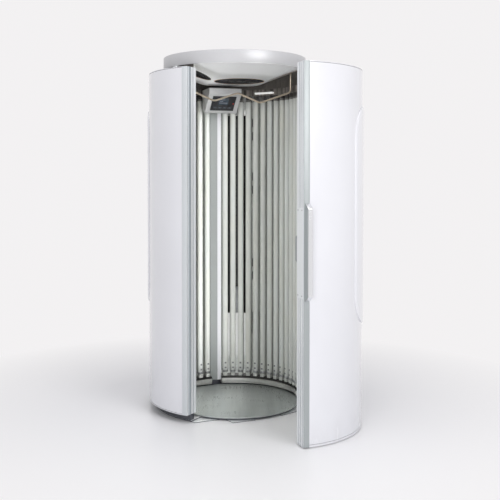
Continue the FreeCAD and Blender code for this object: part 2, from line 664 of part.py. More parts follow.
def fan_rotor(radius):
    """Hub, pitched blades and shaft."""
    tip = radius - BLADE_TIP_GAP
    middle = ROTOR_LIFT + HUB_HEIGHT / 2
    chord = HUB_HEIGHT * 1.5
    blade = box(HUB_RADIUS * 0.7, tip, -chord / 2, chord / 2, -THIN_SHEET / 2, THIN_SHEET / 2)
    blade.rotate(AXIS, V(1, 0, 0), BLADE_PITCH)
    blade.translate(V(0, 0, middle))
    blades = [turned(blade, 360 * i / BLADE_COUNT) for i in range(BLADE_COUNT)]
    hub = cylinder(HUB_RADIUS, ROTOR_LIFT, ROTOR_LIFT + HUB_HEIGHT)
    shaft = cylinder(SHAFT_RADIUS, ROTOR_LIFT, ROTOR_LIFT + HUB_HEIGHT + MOTOR_GAP + MOTOR_HEIGHT / 2)
    return fuse([hub, shaft, *blades])


def fan_motor(radius):
    """Motor on four arms, whose legs stand on the tray around the opening."""
    low = ROTOR_LIFT + HUB_HEIGHT + MOTOR_GAP
    high = low + MOTOR_HEIGHT
    reach = radius + RIM_WIDTH + LEG_WIDTH
    arm = box(0, reach, -LEG_WIDTH / 2, LEG_WIDTH / 2, high - SHEET, high)
    leg = box(reach - SHEET, reach, -LEG_WIDTH / 2, LEG_WIDTH / 2, SHEET, high)
    arms = [turned(piece, 45 + 90 * i) for i in range(4) for piece in (arm, leg)]
    body = fuse([cylinder(MOTOR_RADIUS, low, high), *arms])
    bore_top = low + (MOTOR_HEIGHT + MOTOR_GAP) / 2
    return body.cut(cylinder(SHAFT_RADIUS + RUNNING_CLEARANCE, low - 1, bore_top))


def fan_collar(radius):
    """The short duct that stands on the tray around a fan's opening."""
    return ring(radius + COLLAR_WALL, radius + 2 * COLLAR_WALL, SHEET, SHEET + COLLAR_HEIGHT)


def canopy_band():
    """The round band with the ledge that the lid lies on."""
    inner = CANOPY_RADIUS - SHEET
    wall = ring(inner, CANOPY_RADIUS, CANOPY_BOTTOM, CANOPY_TOP)
    ledge = ring(inner - LEDGE_WIDTH, inner + SHEET / 2, LID_BOTTOM - SHEET, LID_BOTTOM)
    return fuse([wall, ledge])


def canopy_lid():
    """The flat lid with its outlet slots."""
    lid = cylinder(CANOPY_RADIUS - SHEET - SEAT_GAP, LID_BOTTOM, CANOPY_TOP)
    far = CANOPY_RADIUS - 5 * LEDGE_WIDTH
    outlet = box(MAIN_FAN_RADIUS, far, -SLOT_WIDTH, SLOT_WIDTH, LID_BOTTOM - 1, CANOPY_TOP + 1)
    return lid.cut([turned(outlet, 360 * i / LID_SLOTS) for i in range(LID_SLOTS)])


def canopy_tray():
    """The folded underside of the canopy, open where the fans sit."""
    tray = dish(0.0, TRAY_TOP).cut(dish(SHEET, TRAY_TOP + 1))
    holes = [placed(cylinder(radius, -TRAY_DEPTH, TRAY_DEPTH), frame) for frame, radius in fan_frames()]
    return tray.cut(holes)


def canopy_posts():
    """Blocks on the fixed sections that carry the band and the tray."""
    block = box(TRAY_RADIUS - TRAY_RIM_WIDTH, CANOPY_RADIUS + POST_REACH, -POST_WIDTH / 2, POST_WIDTH / 2,
                SECTION_TOP, CANOPY_BOTTOM)
    return group(turned(block, angle) for angle in POST_ANGLES)


def intake_ring():
    """The slatted ring that stands on the head rails and closes the space under the canopy."""
    share = (INTAKE_RADIUS - KEEL_RADIUS) / (TRAY_RADIUS - TRAY_RIM_WIDTH - KEEL_RADIUS)
    top = KEEL + share * TRAY_DEPTH - INTAKE_CLEARANCE
    start, end = BACK_START + PROFILE_ANGLE, LEFT_END - PROFILE_ANGLE
    wall = sector(INTAKE_RADIUS, INTAKE_RADIUS + SHEET, start, end, HEAD_RAIL_TOP, top)
    cut = box(INTAKE_RADIUS - SHEET, INTAKE_RADIUS + 2 * SHEET, -INTAKE_SLOT_WIDTH / 2, INTAKE_SLOT_WIDTH / 2,
              HEAD_RAIL_TOP + INTAKE_MARGIN, top - INTAKE_MARGIN)
    count = int((end - start) / INTAKE_PITCH_ANGLE)
    pitch = (end - start) / count
    return wall.cut([turned(cut, start + pitch * (i + 0.5)) for i in range(count)])


save("canopy_intake", intake_ring())
save("canopy_band", canopy_band())
save("canopy_lid", canopy_lid())
save("canopy_tray", canopy_tray())
save("canopy_posts", canopy_posts())
save("fan_rims", group(placed(fan_rim(radius), frame) for frame, radius in fan_frames()))
save("fan_grilles", group(placed(fan_grille(radius), frame) for frame, radius in fan_frames()))
save("fan_motors", group(placed(make(radius), frame) for frame, radius in fan_frames()
                         for make in (fan_motor, fan_collar)))
for name, (frame, radius) in zip(("left", "main", "right"), fan_frames()):
    save(f"{name}_fan_rotor", placed(fan_rotor(radius), frame))


# ---- control panel ------------------------------------------------------------------------------
def control_frame():
    """The display's own frame: X across, Y up its face, Z out of it, down towards the user."""
    tilt = FreeCAD.Rotation(V(0, 1, 0), -(90 + CONTROL_TILT))
    across = FreeCAD.Rotation(UP, -90)
    turn = FreeCAD.Rotation(UP, JUNCTION_ANGLE)
    return FreeCAD.Placement(polar(CONTROL_RADIUS, JUNCTION_ANGLE, CONTROL_HEIGHT),
                             turn.multiply(tilt).multiply(across))


def key_boxes(spread, depth, lift):
    """A box for each key in the display's frame, grown all round by spread."""
    y = -DISPLAY_HEIGHT / 2 + CONTROL_MARGIN + KEY_HEIGHT / 2
    first = -KEY_PITCH * (len(KEY_NAMES) - 1) / 2
    half_x = KEY_WIDTH / 2 + spread
    half_y = KEY_HEIGHT / 2 + spread
    return [box(x - half_x, x + half_x, y - half_y, y + half_y, -depth, lift)
            for x in (first + KEY_PITCH * i for i in range(len(KEY_NAMES)))]


def control_housing(frame):
    """The wedge-shaped casing with its arm to the junction column, and pockets behind the keys."""
    half = DISPLAY_HEIGHT / 2 + CONTROL_MARGIN
    run = half * math.sin(math.radians(CONTROL_TILT))
    rise = half * math.cos(math.radians(CONTROL_TILT))
    front = CONTROL_RADIUS - run
    foot = CONTROL_RADIUS + run
    low = CONTROL_HEIGHT - rise
    outline = [(front, CONTROL_HEIGHT + rise), (front, CONTROL_TOP), (CONTROL_BACK_RADIUS, CONTROL_TOP),
               (CONTROL_BACK_RADIUS, low + CONTROL_MARGIN), (foot + CONTROL_MARGIN, low - SHEET), (foot, low)]
    wedge = side_prism(outline, CONTROL_WIDTH)
    arm = box(CONTROL_BACK_RADIUS - 1, COLUMN_FACE_RADIUS - SEAT_GAP, -ARM_WIDTH / 2, ARM_WIDTH / 2,
              CONTROL_TOP - ARM_HEIGHT, CONTROL_TOP)
    casing = turned(fuse([wedge, arm]), JUNCTION_ANGLE)
    depth = KEY_ROOT + KEY_TRAVEL + KEY_CLEARANCE
    return casing.cut([placed(pocket, frame) for pocket in key_boxes(KEY_CLEARANCE, depth, 0)])


def control_bezel(frame):
    """The dark face plate with openings for the keys."""
    half_x, half_y = DISPLAY_WIDTH / 2, DISPLAY_HEIGHT / 2
    plate = box(-half_x, half_x, -half_y, half_y, 0, BEZEL_THICKNESS)
    return placed(plate.cut(key_boxes(KEY_CLEARANCE, 1, 2 * BEZEL_THICKNESS)), frame)


def control_screen(frame):
    """The display window in the upper half of the face plate."""
    y = DISPLAY_HEIGHT / 2 - CONTROL_MARGIN / 2 - SCREEN_HEIGHT
    window = box(-SCREEN_WIDTH / 2, SCREEN_WIDTH / 2, y, y + SCREEN_HEIGHT, BEZEL_THICKNESS,
                 BEZEL_THICKNESS + SCREEN_RAISE)
    return placed(window, frame)


panel_frame = control_frame()
save("control_housing", control_housing(panel_frame))
save("control_bezel", control_bezel(panel_frame))
save("control_screen", control_screen(panel_frame))
for name, key in zip(KEY_NAMES, key_boxes(0, KEY_ROOT, BEZEL_THICKNESS + KEY_RAISE)):
    save(name, placed(key, panel_frame))


# ---- grip rail and light bar --------------------------------------------------------------------
def rod(start, end, radius):
    """A round rod with rounded ends between two points."""
    run = end - start
    return [Part.makeCylinder(radius, run.Length, start, run), Part.makeSphere(radius, start),
            Part.makeSphere(radius, end)]


def tray_underside(along):
    """Height of the tray's facet over a point of the fan row's direction."""
    past_fold = abs(along - FAN_ROW_OFFSET) - FOLD_OFFSET
    return KEEL + max(past_fold, 0) * math.tan(math.radians(FOLD_TILT))


def rail_places():
    """The rail's corners in the booth's frame."""
    turn = FreeCAD.Rotation(UP, RAIL_VIEW_ANGLE)
    return [turn.multVec(V(share * INNER_RADIUS, RAIL_PLANE * INNER_RADIUS, KEEL - drop))
            for share, drop in zip(RAIL_SHARES, RAIL_DROPS)]


def grip_rail():
    """The zigzag rail, with a post at each end that hangs it from the tray's facets."""
    places = rail_places()
    pieces = [piece for a, b in zip(places, places[1:]) for piece in rod(a, b, RAIL_ROD_RADIUS)]
    for place in (places[0], places[-1]):
        along = V(place.x, place.y, 0).dot(polar(1, FAN_ROW_ANGLE))
        top = tray_underside(along) + 2 * POST_ROD_RADIUS
        pieces.append(cylinder(POST_ROD_RADIUS, place.z, top, place.x, place.y))
    return fuse(pieces).cut(dish(0.0, TRAY_TOP))


def light_bar():
    """A slim lamp under the head rail of the back section."""
    top = HEAD_RAIL_TOP - UPPER_RAIL_HEIGHT / 2
    outer = INNER_RADIUS - SEAT_GAP - RAIL_DEPTH - SEAT_GAP
    return sector(outer - BAR_DEPTH, outer, *BAR_SPAN, top - BAR_HEIGHT, top)


save("grip_rail", grip_rail())
save("light_bar", light_bar())


# ---- door furniture -----------------------------------------------------------------------------
def door_handle():
    """The bow handle on the outside of the door's latch profile, with ends bent back to the profile."""
    face = SHELL_RADIUS
    out = face + HANDLE_STANDOFF
    inner = out - HANDLE_THICKNESS
    outline = [(face, HANDLE_BOTTOM), (inner, HANDLE_BOTTOM + HANDLE_BEND), (inner, HANDLE_TOP - HANDLE_BEND),
               (face, HANDLE_TOP), (face, HANDLE_TOP + HANDLE_THICKNESS), (out, HANDLE_TOP - HANDLE_BEND + 4),
               (out, HANDLE_BOTTOM + HANDLE_BEND - 4), (face, HANDLE_BOTTOM - HANDLE_THICKNESS)]
    bow = side_prism(outline, HANDLE_WIDTH)
    bow.translate(V(0, HANDLE_INSET, 0))
    return opened(turned(bow, DOOR_START))


def latch_middle():
    """Middle of the door profile's face across the section."""
    return INNER_RADIUS + SECTION_DEPTH / 2


def latch_cover():
    """The flat cover over the lock on the door's end face."""
    half = LATCH_WIDTH / 2
    plate = box(latch_middle() - half, latch_middle() + half, -LATCH_THICKNESS, 0, LATCH_BOTTOM, LATCH_TOP)
    return opened(turned(plate, DOOR_START))


def latch_screws():
    """Screw heads at the four corners of the lock cover."""
    heads = []
    reach = LATCH_WIDTH / 2 - LATCH_SCREW_INSET
    for across in (-reach, reach):
        for z in (LATCH_BOTTOM + LATCH_SCREW_INSET, LATCH_TOP - LATCH_SCREW_INSET):
            seat = V(latch_middle() + across, -LATCH_THICKNESS, z)
            head = Part.makeCylinder(SCREW_RADIUS, SCREW_HEAD, seat, V(0, -1, 0))
            heads.append(opened(turned(head, DOOR_START)))
    return heads


def inner_pull():
    """The flat grip that stands out of the door's edge into the cabin."""
    slope = PULL_REACH / 2
    tip = INNER_RADIUS - PULL_REACH
    outline = [(INNER_RADIUS, PULL_BOTTOM), (INNER_RADIUS, PULL_TOP), (tip, PULL_TOP - slope),
               (tip, PULL_BOTTOM + slope)]
    plate = side_prism(outline, SHEET)
    plate.translate(V(0, SHEET / 2 + SEAT_GAP, 0))
    return opened(turned(plate, DOOR_START))


def door_seal():
    """The soft strip on the left wing's end face that the door shuts against."""
    x = INNER_RADIUS + (GROOVE_PLACES[1] + GROOVE_PLACES[2]) / 2 * SECTION_DEPTH
    strip = box(x - SEAL_WIDTH / 2, x + SEAL_WIDTH / 2, 0, SEAL_THICKNESS, SECTION_BOTTOM, SECTION_TOP)
    return turned(strip, LEFT_END)


save("door_handle", door_handle())
save("latch_cover", group([latch_cover(), *latch_screws()]))
save("inner_pull", inner_pull())
save("door_seal", door_seal())


# ---- supply -------------------------------------------------------------------------------------
def standing_block(size, angle):
    """A block that stands on a fixed section's foot sheet, midway through the section."""
    depth, width, height = size
    near = INNER_RADIUS + (SECTION_DEPTH - depth) / 2
    foot = SECTION_BOTTOM + SHEET
    return turned(box(near, near + depth, -width / 2, width / 2, foot, foot + height), angle)


def mains_inlet():
    """The cable gland with its square flange on the back panel."""
    face = SHELL_RADIUS + SEAT_GAP
    half = INLET_FLANGE / 2
    flange = box(face, face + SHEET, -half, half, INLET_HEIGHT - half, INLET_HEIGHT + half)
    body = radial_rod(INLET_RADIUS, SHELL_RADIUS - SHEET, INLET_LENGTH, INLET_HEIGHT)
    bore = radial_rod(INLET_BORE, SHELL_RADIUS - INLET_LENGTH, 3 * INLET_LENGTH, INLET_HEIGHT)
    return turned(fuse([flange, body]).cut(bore), SUPPLY_ANGLE)


save("electrical_units", group([standing_block(SUPPLY_SIZE, SUPPLY_ANGLE),
                                *(standing_block(BALLAST_SIZE, angle) for angle in BALLAST_ANGLES)]))
save("mains_inlet", mains_inlet())
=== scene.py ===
"""Looks of the vertical tanning booth: its finishes, its detailed pieces, the stage and the camera.

Metres. +Z is up and the booth's axis is X = Y = 0. Angles run anticlockwise from +X as seen from above.
"""
import json
import logging
import math
from dataclasses import dataclass
from enum import Enum
from typing import Any, Callable, Iterable, Mapping, Optional, Protocol, Sequence, Union

import bpy
import bmesh
from mathutils import Matrix, Vector


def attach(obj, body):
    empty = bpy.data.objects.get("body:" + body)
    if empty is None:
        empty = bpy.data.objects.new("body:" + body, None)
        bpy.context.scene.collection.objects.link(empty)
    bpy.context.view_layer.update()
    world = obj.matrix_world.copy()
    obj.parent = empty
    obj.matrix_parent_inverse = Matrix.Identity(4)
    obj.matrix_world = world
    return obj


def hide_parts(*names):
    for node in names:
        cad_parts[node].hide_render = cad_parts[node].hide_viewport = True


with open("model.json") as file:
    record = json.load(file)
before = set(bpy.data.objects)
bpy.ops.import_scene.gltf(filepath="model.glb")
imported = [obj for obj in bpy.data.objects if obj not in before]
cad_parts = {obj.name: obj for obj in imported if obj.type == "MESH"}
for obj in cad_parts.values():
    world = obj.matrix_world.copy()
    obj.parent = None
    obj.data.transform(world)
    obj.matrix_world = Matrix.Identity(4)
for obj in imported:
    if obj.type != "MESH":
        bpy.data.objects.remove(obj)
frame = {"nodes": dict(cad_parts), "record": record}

log = logging.getLogger("booth")
Colour = tuple[float, float, float]
Piece = bpy.types.Object


# ---- node arithmetic ----------------------------------------------------------------------------
@dataclass(frozen=True)
class Signal:
    """A node's output that takes part in arithmetic.

    Args:
        graph: the node graph that the output belongs to.
        socket: the output socket.
    """
    graph: "Graph"
    socket: bpy.types.NodeSocket

    def _maths(self, operation: str, first: "Value", second: "Value") -> "Signal":
        """Add one Math node.

        Args:
            operation: the Math node's operation.
            first: its first value.
            second: its second value.

        Returns:
            The node's result.
        """
        return self.graph.node("Math", {0: first, 1: second}, operation=operation)

    def __add__(self, other: "Value") -> "Signal":
        """Sum."""
        return self._maths("ADD", self, other)

    def __rsub__(self, other: "Value") -> "Signal":
        """Difference from a number."""
        return self._maths("SUBTRACT", other, self)

    def __mul__(self, other: "Value") -> "Signal":
        """Product."""
        return self._maths("MULTIPLY", self, other)

    def at_least(self, other: "Value") -> "Signal":
        """The higher of the two."""
        return self._maths("MAXIMUM", self, other)

    def above(self, level: float) -> "Signal":
        """1 where the value is over a level, else 0."""
        return self._maths("GREATER_THAN", self, level)

    def ramp(self, low: float, high: float, out_low: float = 0.0, out_high: float = 1.0) -> "Signal":
        """A clamped linear change of range.

        Args:
            low: value that gives out_low.
            high: value that gives out_high.
            out_low: result at low.
            out_high: result at high.

        Returns:
            The changed value.
        """
        return self.graph.node("MapRange", {0: self, 1: low, 2: high, 3: out_low, 4: out_high})


Value = Union[Signal, float]


class Graph:
    """The node graph of one material, or of the world."""

    def __init__(self, name: str, world: Optional[bpy.types.World] = None) -> None:
        """Start a graph with no nodes.

        Args:
            name: the name of the material.
            world: the world, when the graph is the world's and not a material's.
        """
        self.owner = world or bpy.data.materials.new(name)
        self.owner.use_nodes = True
        self.tree = self.owner.node_tree
        self.tree.nodes.clear()

    def node(self, kind: str, inputs: Optional[Mapping[Any, Any]] = None, output: Union[int, str] = 0,
             **settings: Any) -> Signal:
        """Add a node, set it and wire it.

        Args:
            kind: the node's type, less the ShaderNode that every type starts with.
            inputs: values or signals for its input sockets, by name or number.
            output: the output that is wanted, by name or number.
            settings: properties that are set before the inputs.

        Returns:
            That output.
        """
        made = self.tree.nodes.new("ShaderNode" + kind)
        for key, value in settings.items():
            setattr(made, key, value)
        for key, value in (inputs or {}).items():
            if isinstance(value, Signal):
                self.tree.links.new(value.socket, made.inputs[key])
            else:
                made.inputs[key].default_value = value
        return Signal(self, made.outputs[output] if made.outputs else None)

    def here(self) -> Signal:
        """Object coordinates, which at rest are the booth's own."""
        return self.node("TexCoord", output="Object")

    def reach(self, place: Signal) -> Signal:
        """The length of a vector."""
        return self.node("VectorMath", {0: place}, "Value", operation="LENGTH")

    def place(self, stretch: Sequence[float] = (1, 1, 1), turn: float = 0.0) -> Signal:
        """Object coordinates, turned about Z and then stretched.

        Args:
            stretch: scale along X, Y and Z.
            turn: turn about Z in degrees.

        Returns:
            The coordinates.
        """
        here = self.here()
        if turn:
            here = self.node("Mapping", {"Vector": here, "Rotation": (0, 0, math.radians(turn))})
        return self.node("Mapping", {"Vector": here, "Scale": tuple(stretch)})

    def noise(self, scale: float, stretch: Sequence[float] = (1, 1, 1), detail: float = 3.0,
              turn: float = 0.0) -> Signal:
        """Soft noise from 0 to 1.

        Args:
            scale: noise cells per metre.
            stretch: scale along X, Y and Z.
            detail: how many finer layers it has.
            turn: turn about Z in degrees.

        Returns:
            The noise.
        """
        return self.node("TexNoise", {"Vector": self.place(stretch, turn), "Scale": scale, "Detail": detail,
                                      "Roughness": 0.55})

    def cells(self, scale: float, output: str = "Distance") -> Signal:
        """Voronoi cells.

        Args:
            scale: cells per metre.
            output: the output that is wanted.

        Returns:
            That output.
        """
        return self.node("TexVoronoi", {"Vector": self.place(), "Scale": scale}, output)

    def height(self) -> Signal:
        """Height above the floor in metres."""
        return self.node("SeparateXYZ", {0: self.here()}, "Z")

    def mix(self, mask: Value, first: Union[Signal, Colour], second: Union[Signal, Colour]) -> Signal:
        """Blend two colours.

        Args:
            mask: 0 gives the first, 1 the second.
            first: colour at 0.
            second: colour at 1.

        Returns:
            The blended colour.
        """
        def full(value: Union[Signal, Colour]) -> Any:
            """A colour with its alpha, or a signal as it is."""
            return value if isinstance(value, Signal) else (*value, 1.0)
        return self.node("Mix", {0: mask, 6: full(first), 7: full(second)}, 2, data_type="RGBA")

    def bump(self, height: Signal, strength: float, distance: float) -> Signal:
        """A surface normal from a height.

        Args:
            height: the height.
            strength: share of the bump that shows.
            distance: metres that a height of 1 stands for.

        Returns:
            The normal.
        """
        return self.node("Bump", {"Strength": strength, "Distance": distance, "Height": height})

    def surface(self, inputs: Mapping[str, Any]) -> bpy.types.Material:
        """Close the graph with a Principled shader.

        Args:
            inputs: values or signals for the shader's sockets.

        Returns:
            The material.
        """
        self.node("OutputMaterial", {"Surface": self.node("BsdfPrincipled", inputs)})
        return self.owner


def scaled(colour: Colour, factor: float) -> Colour:
    """A colour made darker or lighter.

    Args:
        colour: the colour.
        factor: what each of its values is multiplied by.

    Returns:
        The new colour.
    """
    return tuple(c * factor for c in colour)


# ---- finishes -----------------------------------------------------------------------------------
@dataclass(frozen=True)
class GlossPaint:
    """Smooth paint or moulding with a clear coat, faint orange peel, and a darker, rougher tone in patches
    low down.

    A curved panel has its paint on its outside alone; its inside is near-black, a painted shade for the dark
    inside the closed shell. Its axis and the radius where the paint starts tell the outside from the inside.
    """
    name: str
    colour: Colour
    roughness: float = 0.16
    coat: float = 0.6
    peel: float = 0.00006
    dust_height: float = 0.16
    grime: Colour = (0.50, 0.49, 0.48)
    axis: Optional[tuple[float, float]] = None
    painted_from: float = 0.5485
    # A near-black painted shade for a curved panel's inside.
    bare: Colour = (0.030, 0.029, 0.030)
    dust_share: float = 0.22

    def _inside(self, g: Graph) -> Value:
        """1 on the inside of a curved panel, which takes the painted shade, 0 elsewhere.

        Args:
            g: the node graph.

        Returns:
            The mask, or 0 when the finish has no inside.
        """
        if self.axis is None:
            return 0.0
        flat = g.node("Mapping", {"Vector": g.here(), "Location": (-self.axis[0], -self.axis[1], 0),
                                  "Scale": (1, 1, 0)})
        return 1.0 - g.reach(flat).above(self.painted_from)

    def make(self) -> bpy.types.Material:
        """Build the material.

        Returns:
            The material.
        """
        g = Graph(self.name)
        cloud = g.noise(2.2, detail=4.0)
        smear = g.noise(9.0, (1, 1, 0.35), 5.0)
        # Near the floor, patches are mixed towards a darker tone and a higher roughness.
        low_darkening = g.height().ramp(0.0, self.dust_height, 1.0, 0.0) * smear.ramp(0.42, 0.72)
        tone = g.mix(cloud.ramp(0.3, 0.75), self.colour, scaled(self.colour, 0.955))
        worn = smear.ramp(0.35, 0.75, self.roughness * 0.85, self.roughness * 1.35)
        peel = g.noise(230.0, detail=2.0)
        outside = g.mix(low_darkening * self.dust_share, tone, self.grime)
        # The inside of a curved panel is near-black: painted shade inside the closed shell.
        return g.surface({"Base Color": g.mix(self._inside(g), outside, self.bare),
                          "Roughness": worn + low_darkening * self.dust_share,
                          "Coat Weight": self.coat, "Coat Roughness": 0.05, "IOR": 1.48,
                          "Normal": g.bump(peel, 0.35, self.peel)})


@dataclass(frozen=True)
class SatinMetal:
    """Drawn, anodised or rolled metal: fine lines along its length, stains and worn spots."""
    name: str
    colour: Colour
    roughness: float = 0.34
    metallic: float = 1.0
    grain: tuple[float, float, float] = (1, 1, 0.02)
    grain_scale: float = 900.0
    depth: float = 0.00005
    stain: float = 0.08

    def make(self) -> bpy.types.Material:
        """Build the material.

        Returns:
            The material.
        """
        g = Graph(self.name)
        lines = g.noise(self.grain_scale, self.grain, 2.0)
        cloud = g.noise(5.0, (1, 1, 0.5), 5.0)
        scuff = g.noise(38.0, (1, 1, 0.6), 6.0).ramp(0.60, 0.74)
        shade = lines.ramp(0.25, 0.75) * 0.10 + cloud.ramp(0.3, 0.7) * self.stain
        rough = lines.ramp(0.3, 0.7, self.roughness * 0.85, self.roughness * 1.2) + scuff * 0.10
        return g.surface({"Base Color": g.mix(shade + scuff * 0.05, self.colour, scaled(self.colour, 0.62)),
                          "Metallic": self.metallic, "Roughness": rough,
                          "Normal": g.bump(lines, 0.4, self.depth)})


@dataclass(frozen=True)
class Spangle:
    """Zinc plated sheet with crystal spangle and stains."""
    name: str
    colour: Colour
    roughness: float = 0.42

    def make(self) -> bpy.types.Material:
        """Build the material.

        Returns:
            The material.
        """
        g = Graph(self.name)
        flake = g.node("SeparateColor", {0: g.cells(70.0, "Color")})
        stain = g.noise(11.0, detail=6.0).ramp(0.5, 0.75)
        rough = flake.ramp(0, 1, self.roughness - 0.1, self.roughness + 0.1) + stain * 0.1
        tone = g.mix(flake * 0.3 + stain * 0.3, self.colour, scaled(self.colour, 0.7))
        return g.surface({"Base Color": tone, "Metallic": 0.9, "Roughness": rough,
                          "Normal": g.bump(flake, 0.2, 0.00005)})


@dataclass(frozen=True)
class Moulded:
    """Moulded plastic or rubber with a fine sparked grain and handling marks."""
    name: str
    colour: Colour
    roughness: float = 0.45
    grain: float = 0.00012
    grain_scale: float = 1400.0
    wear: float = 0.25

    def make(self) -> bpy.types.Material:
        """Build the material.

        Returns:
            The material.
        """
        g = Graph(self.name)
        grain = g.noise(self.grain_scale, detail=2.0)
        rub = g.noise(26.0, detail=6.0).ramp(0.52, 0.78)
        paler = tuple(min(1.0, c * 1.25 + 0.015) for c in self.colour)
        return g.surface({"Base Color": g.mix(rub * self.wear, self.colour, paler),
                          "Roughness": self.roughness - rub * 0.12 + grain * 0.06,
                          "Normal": g.bump(grain, 0.5, self.grain)})


@dataclass(frozen=True)
class LampGlass:
    """Phosphor coated glass: pale, glossy, a little uneven in its coat, greyer at the lamp's two ends."""
    name: str
    colour: Colour
    ends: tuple[float, float]
    roughness: float = 0.14
    grey_length: float = 0.07

    def make(self) -> bpy.types.Material:
        """Build the material.

        Returns:
            The material.
        """
        g = Graph(self.name)
        coat = g.noise(14.0, (1, 1, 0.18), 5.0)
        height = g.height()
        foot, head = self.ends
        near_foot = height.ramp(foot, foot + self.grey_length, 1.0, 0.0)
        near_end = near_foot.at_least(height.ramp(head - self.grey_length, head, 0.0, 1.0))
        warm = tuple(c * f for c, f in zip(self.colour, (0.95, 0.93, 0.88)))
        tone = g.mix(coat.ramp(0.35, 0.7), self.colour, warm)
        return g.surface({"Base Color": g.mix(near_end * 0.55, tone, scaled(self.colour, 0.62)),
                          "Roughness": coat.ramp(0.3, 0.7, self.roughness, self.roughness * 1.8),
                          "Coat Weight": 0.7, "Coat Roughness": 0.04, "IOR": 1.5,
                          "Normal": g.bump(coat, 0.1, 0.0002)})


@dataclass(frozen=True)
class BrushedDeck:
    """Brushed sheet underfoot: straight brush lines, bands along the view that are painted reflection
    streaks, scuffs, and a haze from footprints.
    """
    name: str
    colour: Colour
    roughness: float = 0.24
    # The brush lines and the painted reflection bands both run at the camera's turn.
    brushed_along: float = -30.5
    scratched_along: float = 25.0
    metallic: float = 0.45

    def make(self) -> bpy.types.Material:
        """Build the material.

        Returns:
            The material.
        """
        g = Graph(self.name)
        brush = g.noise(420.0, (1, 0.02, 1), 3.0, self.brushed_along)
        # Bands along the view: painted reflection streaks, as on brushed sheet seen along its lines.
        band = g.noise(14.0, (1, 0.05, 1), 3.0, self.brushed_along)
        haze = g.noise(6.0, detail=6.0).ramp(0.42, 0.72)
        scratch = g.noise(90.0, (1, 0.05, 1), 4.0, self.scratched_along).ramp(0.68, 0.74)
        shade = brush.ramp(0.3, 0.7) * 0.2 + band.ramp(0.38, 0.62) * 0.7 + haze * 0.1
        worn = haze * 0.10 + scratch * 0.06
        rough = brush.ramp(0.3, 0.7, self.roughness * 0.8, self.roughness * 1.2) + worn
        return g.surface({"Base Color": g.mix(shade, self.colour, scaled(self.colour, 0.72)),
                          "Metallic": self.metallic, "Roughness": rough,
                          "Normal": g.bump(brush, 0.25, 0.00008)})


@dataclass(frozen=True)
class Window:
    """A dark glossy display window with finger smudges."""
    name: str
    colour: Colour
    smudge: Colour = (0.35, 0.37, 0.40)

    def make(self) -> bpy.types.Material:
        """Build the material.

        Returns:
            The material.
        """
        g = Graph(self.name)
        smudge = g.noise(60.0, detail=5.0).ramp(0.5, 0.75)
        return g.surface({"Base Color": g.mix(smudge * 0.15, self.colour, self.smudge),
                          "Roughness": smudge.ramp(0, 1, 0.08, 0.22),
                          "Coat Weight": 0.8, "Coat Roughness": 0.03})


@dataclass(frozen=True)
class RolledRail:
    """Rolled rail sheet: plain metal at the foot with a painted shadow above its lip, and dark and
    streaked at the head, where the dark is painted shade under the canopy.
    """
    name: str
    colour: Colour
    # Dark head colour: painted shade under the canopy.
    head: Colour
    # Painted shadow colour above the rail's lip.
    ledge: Colour = (0.10, 0.098, 0.095)
    ledge_height: float = 0.0655
    head_height: float = 1.95
    roughness: float = 0.34

    def make(self) -> bpy.types.Material:
        """Build the material.

        Returns:
            The material.
        """
        g = Graph(self.name)
        streak = g.noise(60.0, (1, 1, 0.02), 4.0)
        stain = g.noise(14.0, (1, 1, 0.3), 5.0)
        # Above this height the rail is painted dark as the shade under the canopy.
        upper = g.height().above(self.head_height)
        sheet = g.mix(streak.ramp(0.3, 0.7) * 0.3, self.colour, scaled(self.colour, 0.7))
        # Above the lip the rail takes the painted shadow colour.
        foot = g.mix(g.height().above(self.ledge_height), sheet, self.ledge)
        head = g.mix(streak.ramp(0.38, 0.62), self.head, scaled(self.head, 4.0))
        return g.surface({"Base Color": g.mix(upper, foot, head), "Metallic": upper.ramp(0, 1, 0.85, 0.35),
                          "Roughness": stain.ramp(0.3, 0.7, self.roughness * 0.8, self.roughness * 1.3),
                          "Normal": g.bump(streak, 0.3, 0.0002)})


@dataclass(frozen=True)
class Glow:
    """Plastic that gives off a little light, in small cells of two tones: a lens or a lamp's cover."""
    name: str
    colour: Colour
    power: float

    def make(self) -> bpy.types.Material:
        """Build the material.

        Returns:
            The material.
        """
        g = Graph(self.name)
        cell = g.cells(900.0)
        glow = g.mix(cell.ramp(0, 0.8), self.colour, scaled(self.colour, 0.6))
        return g.surface({"Base Color": (*self.colour, 1.0), "Roughness": cell.ramp(0, 1, 0.15, 0.35),
                          "Emission Color": glow, "Emission Strength": self.power})


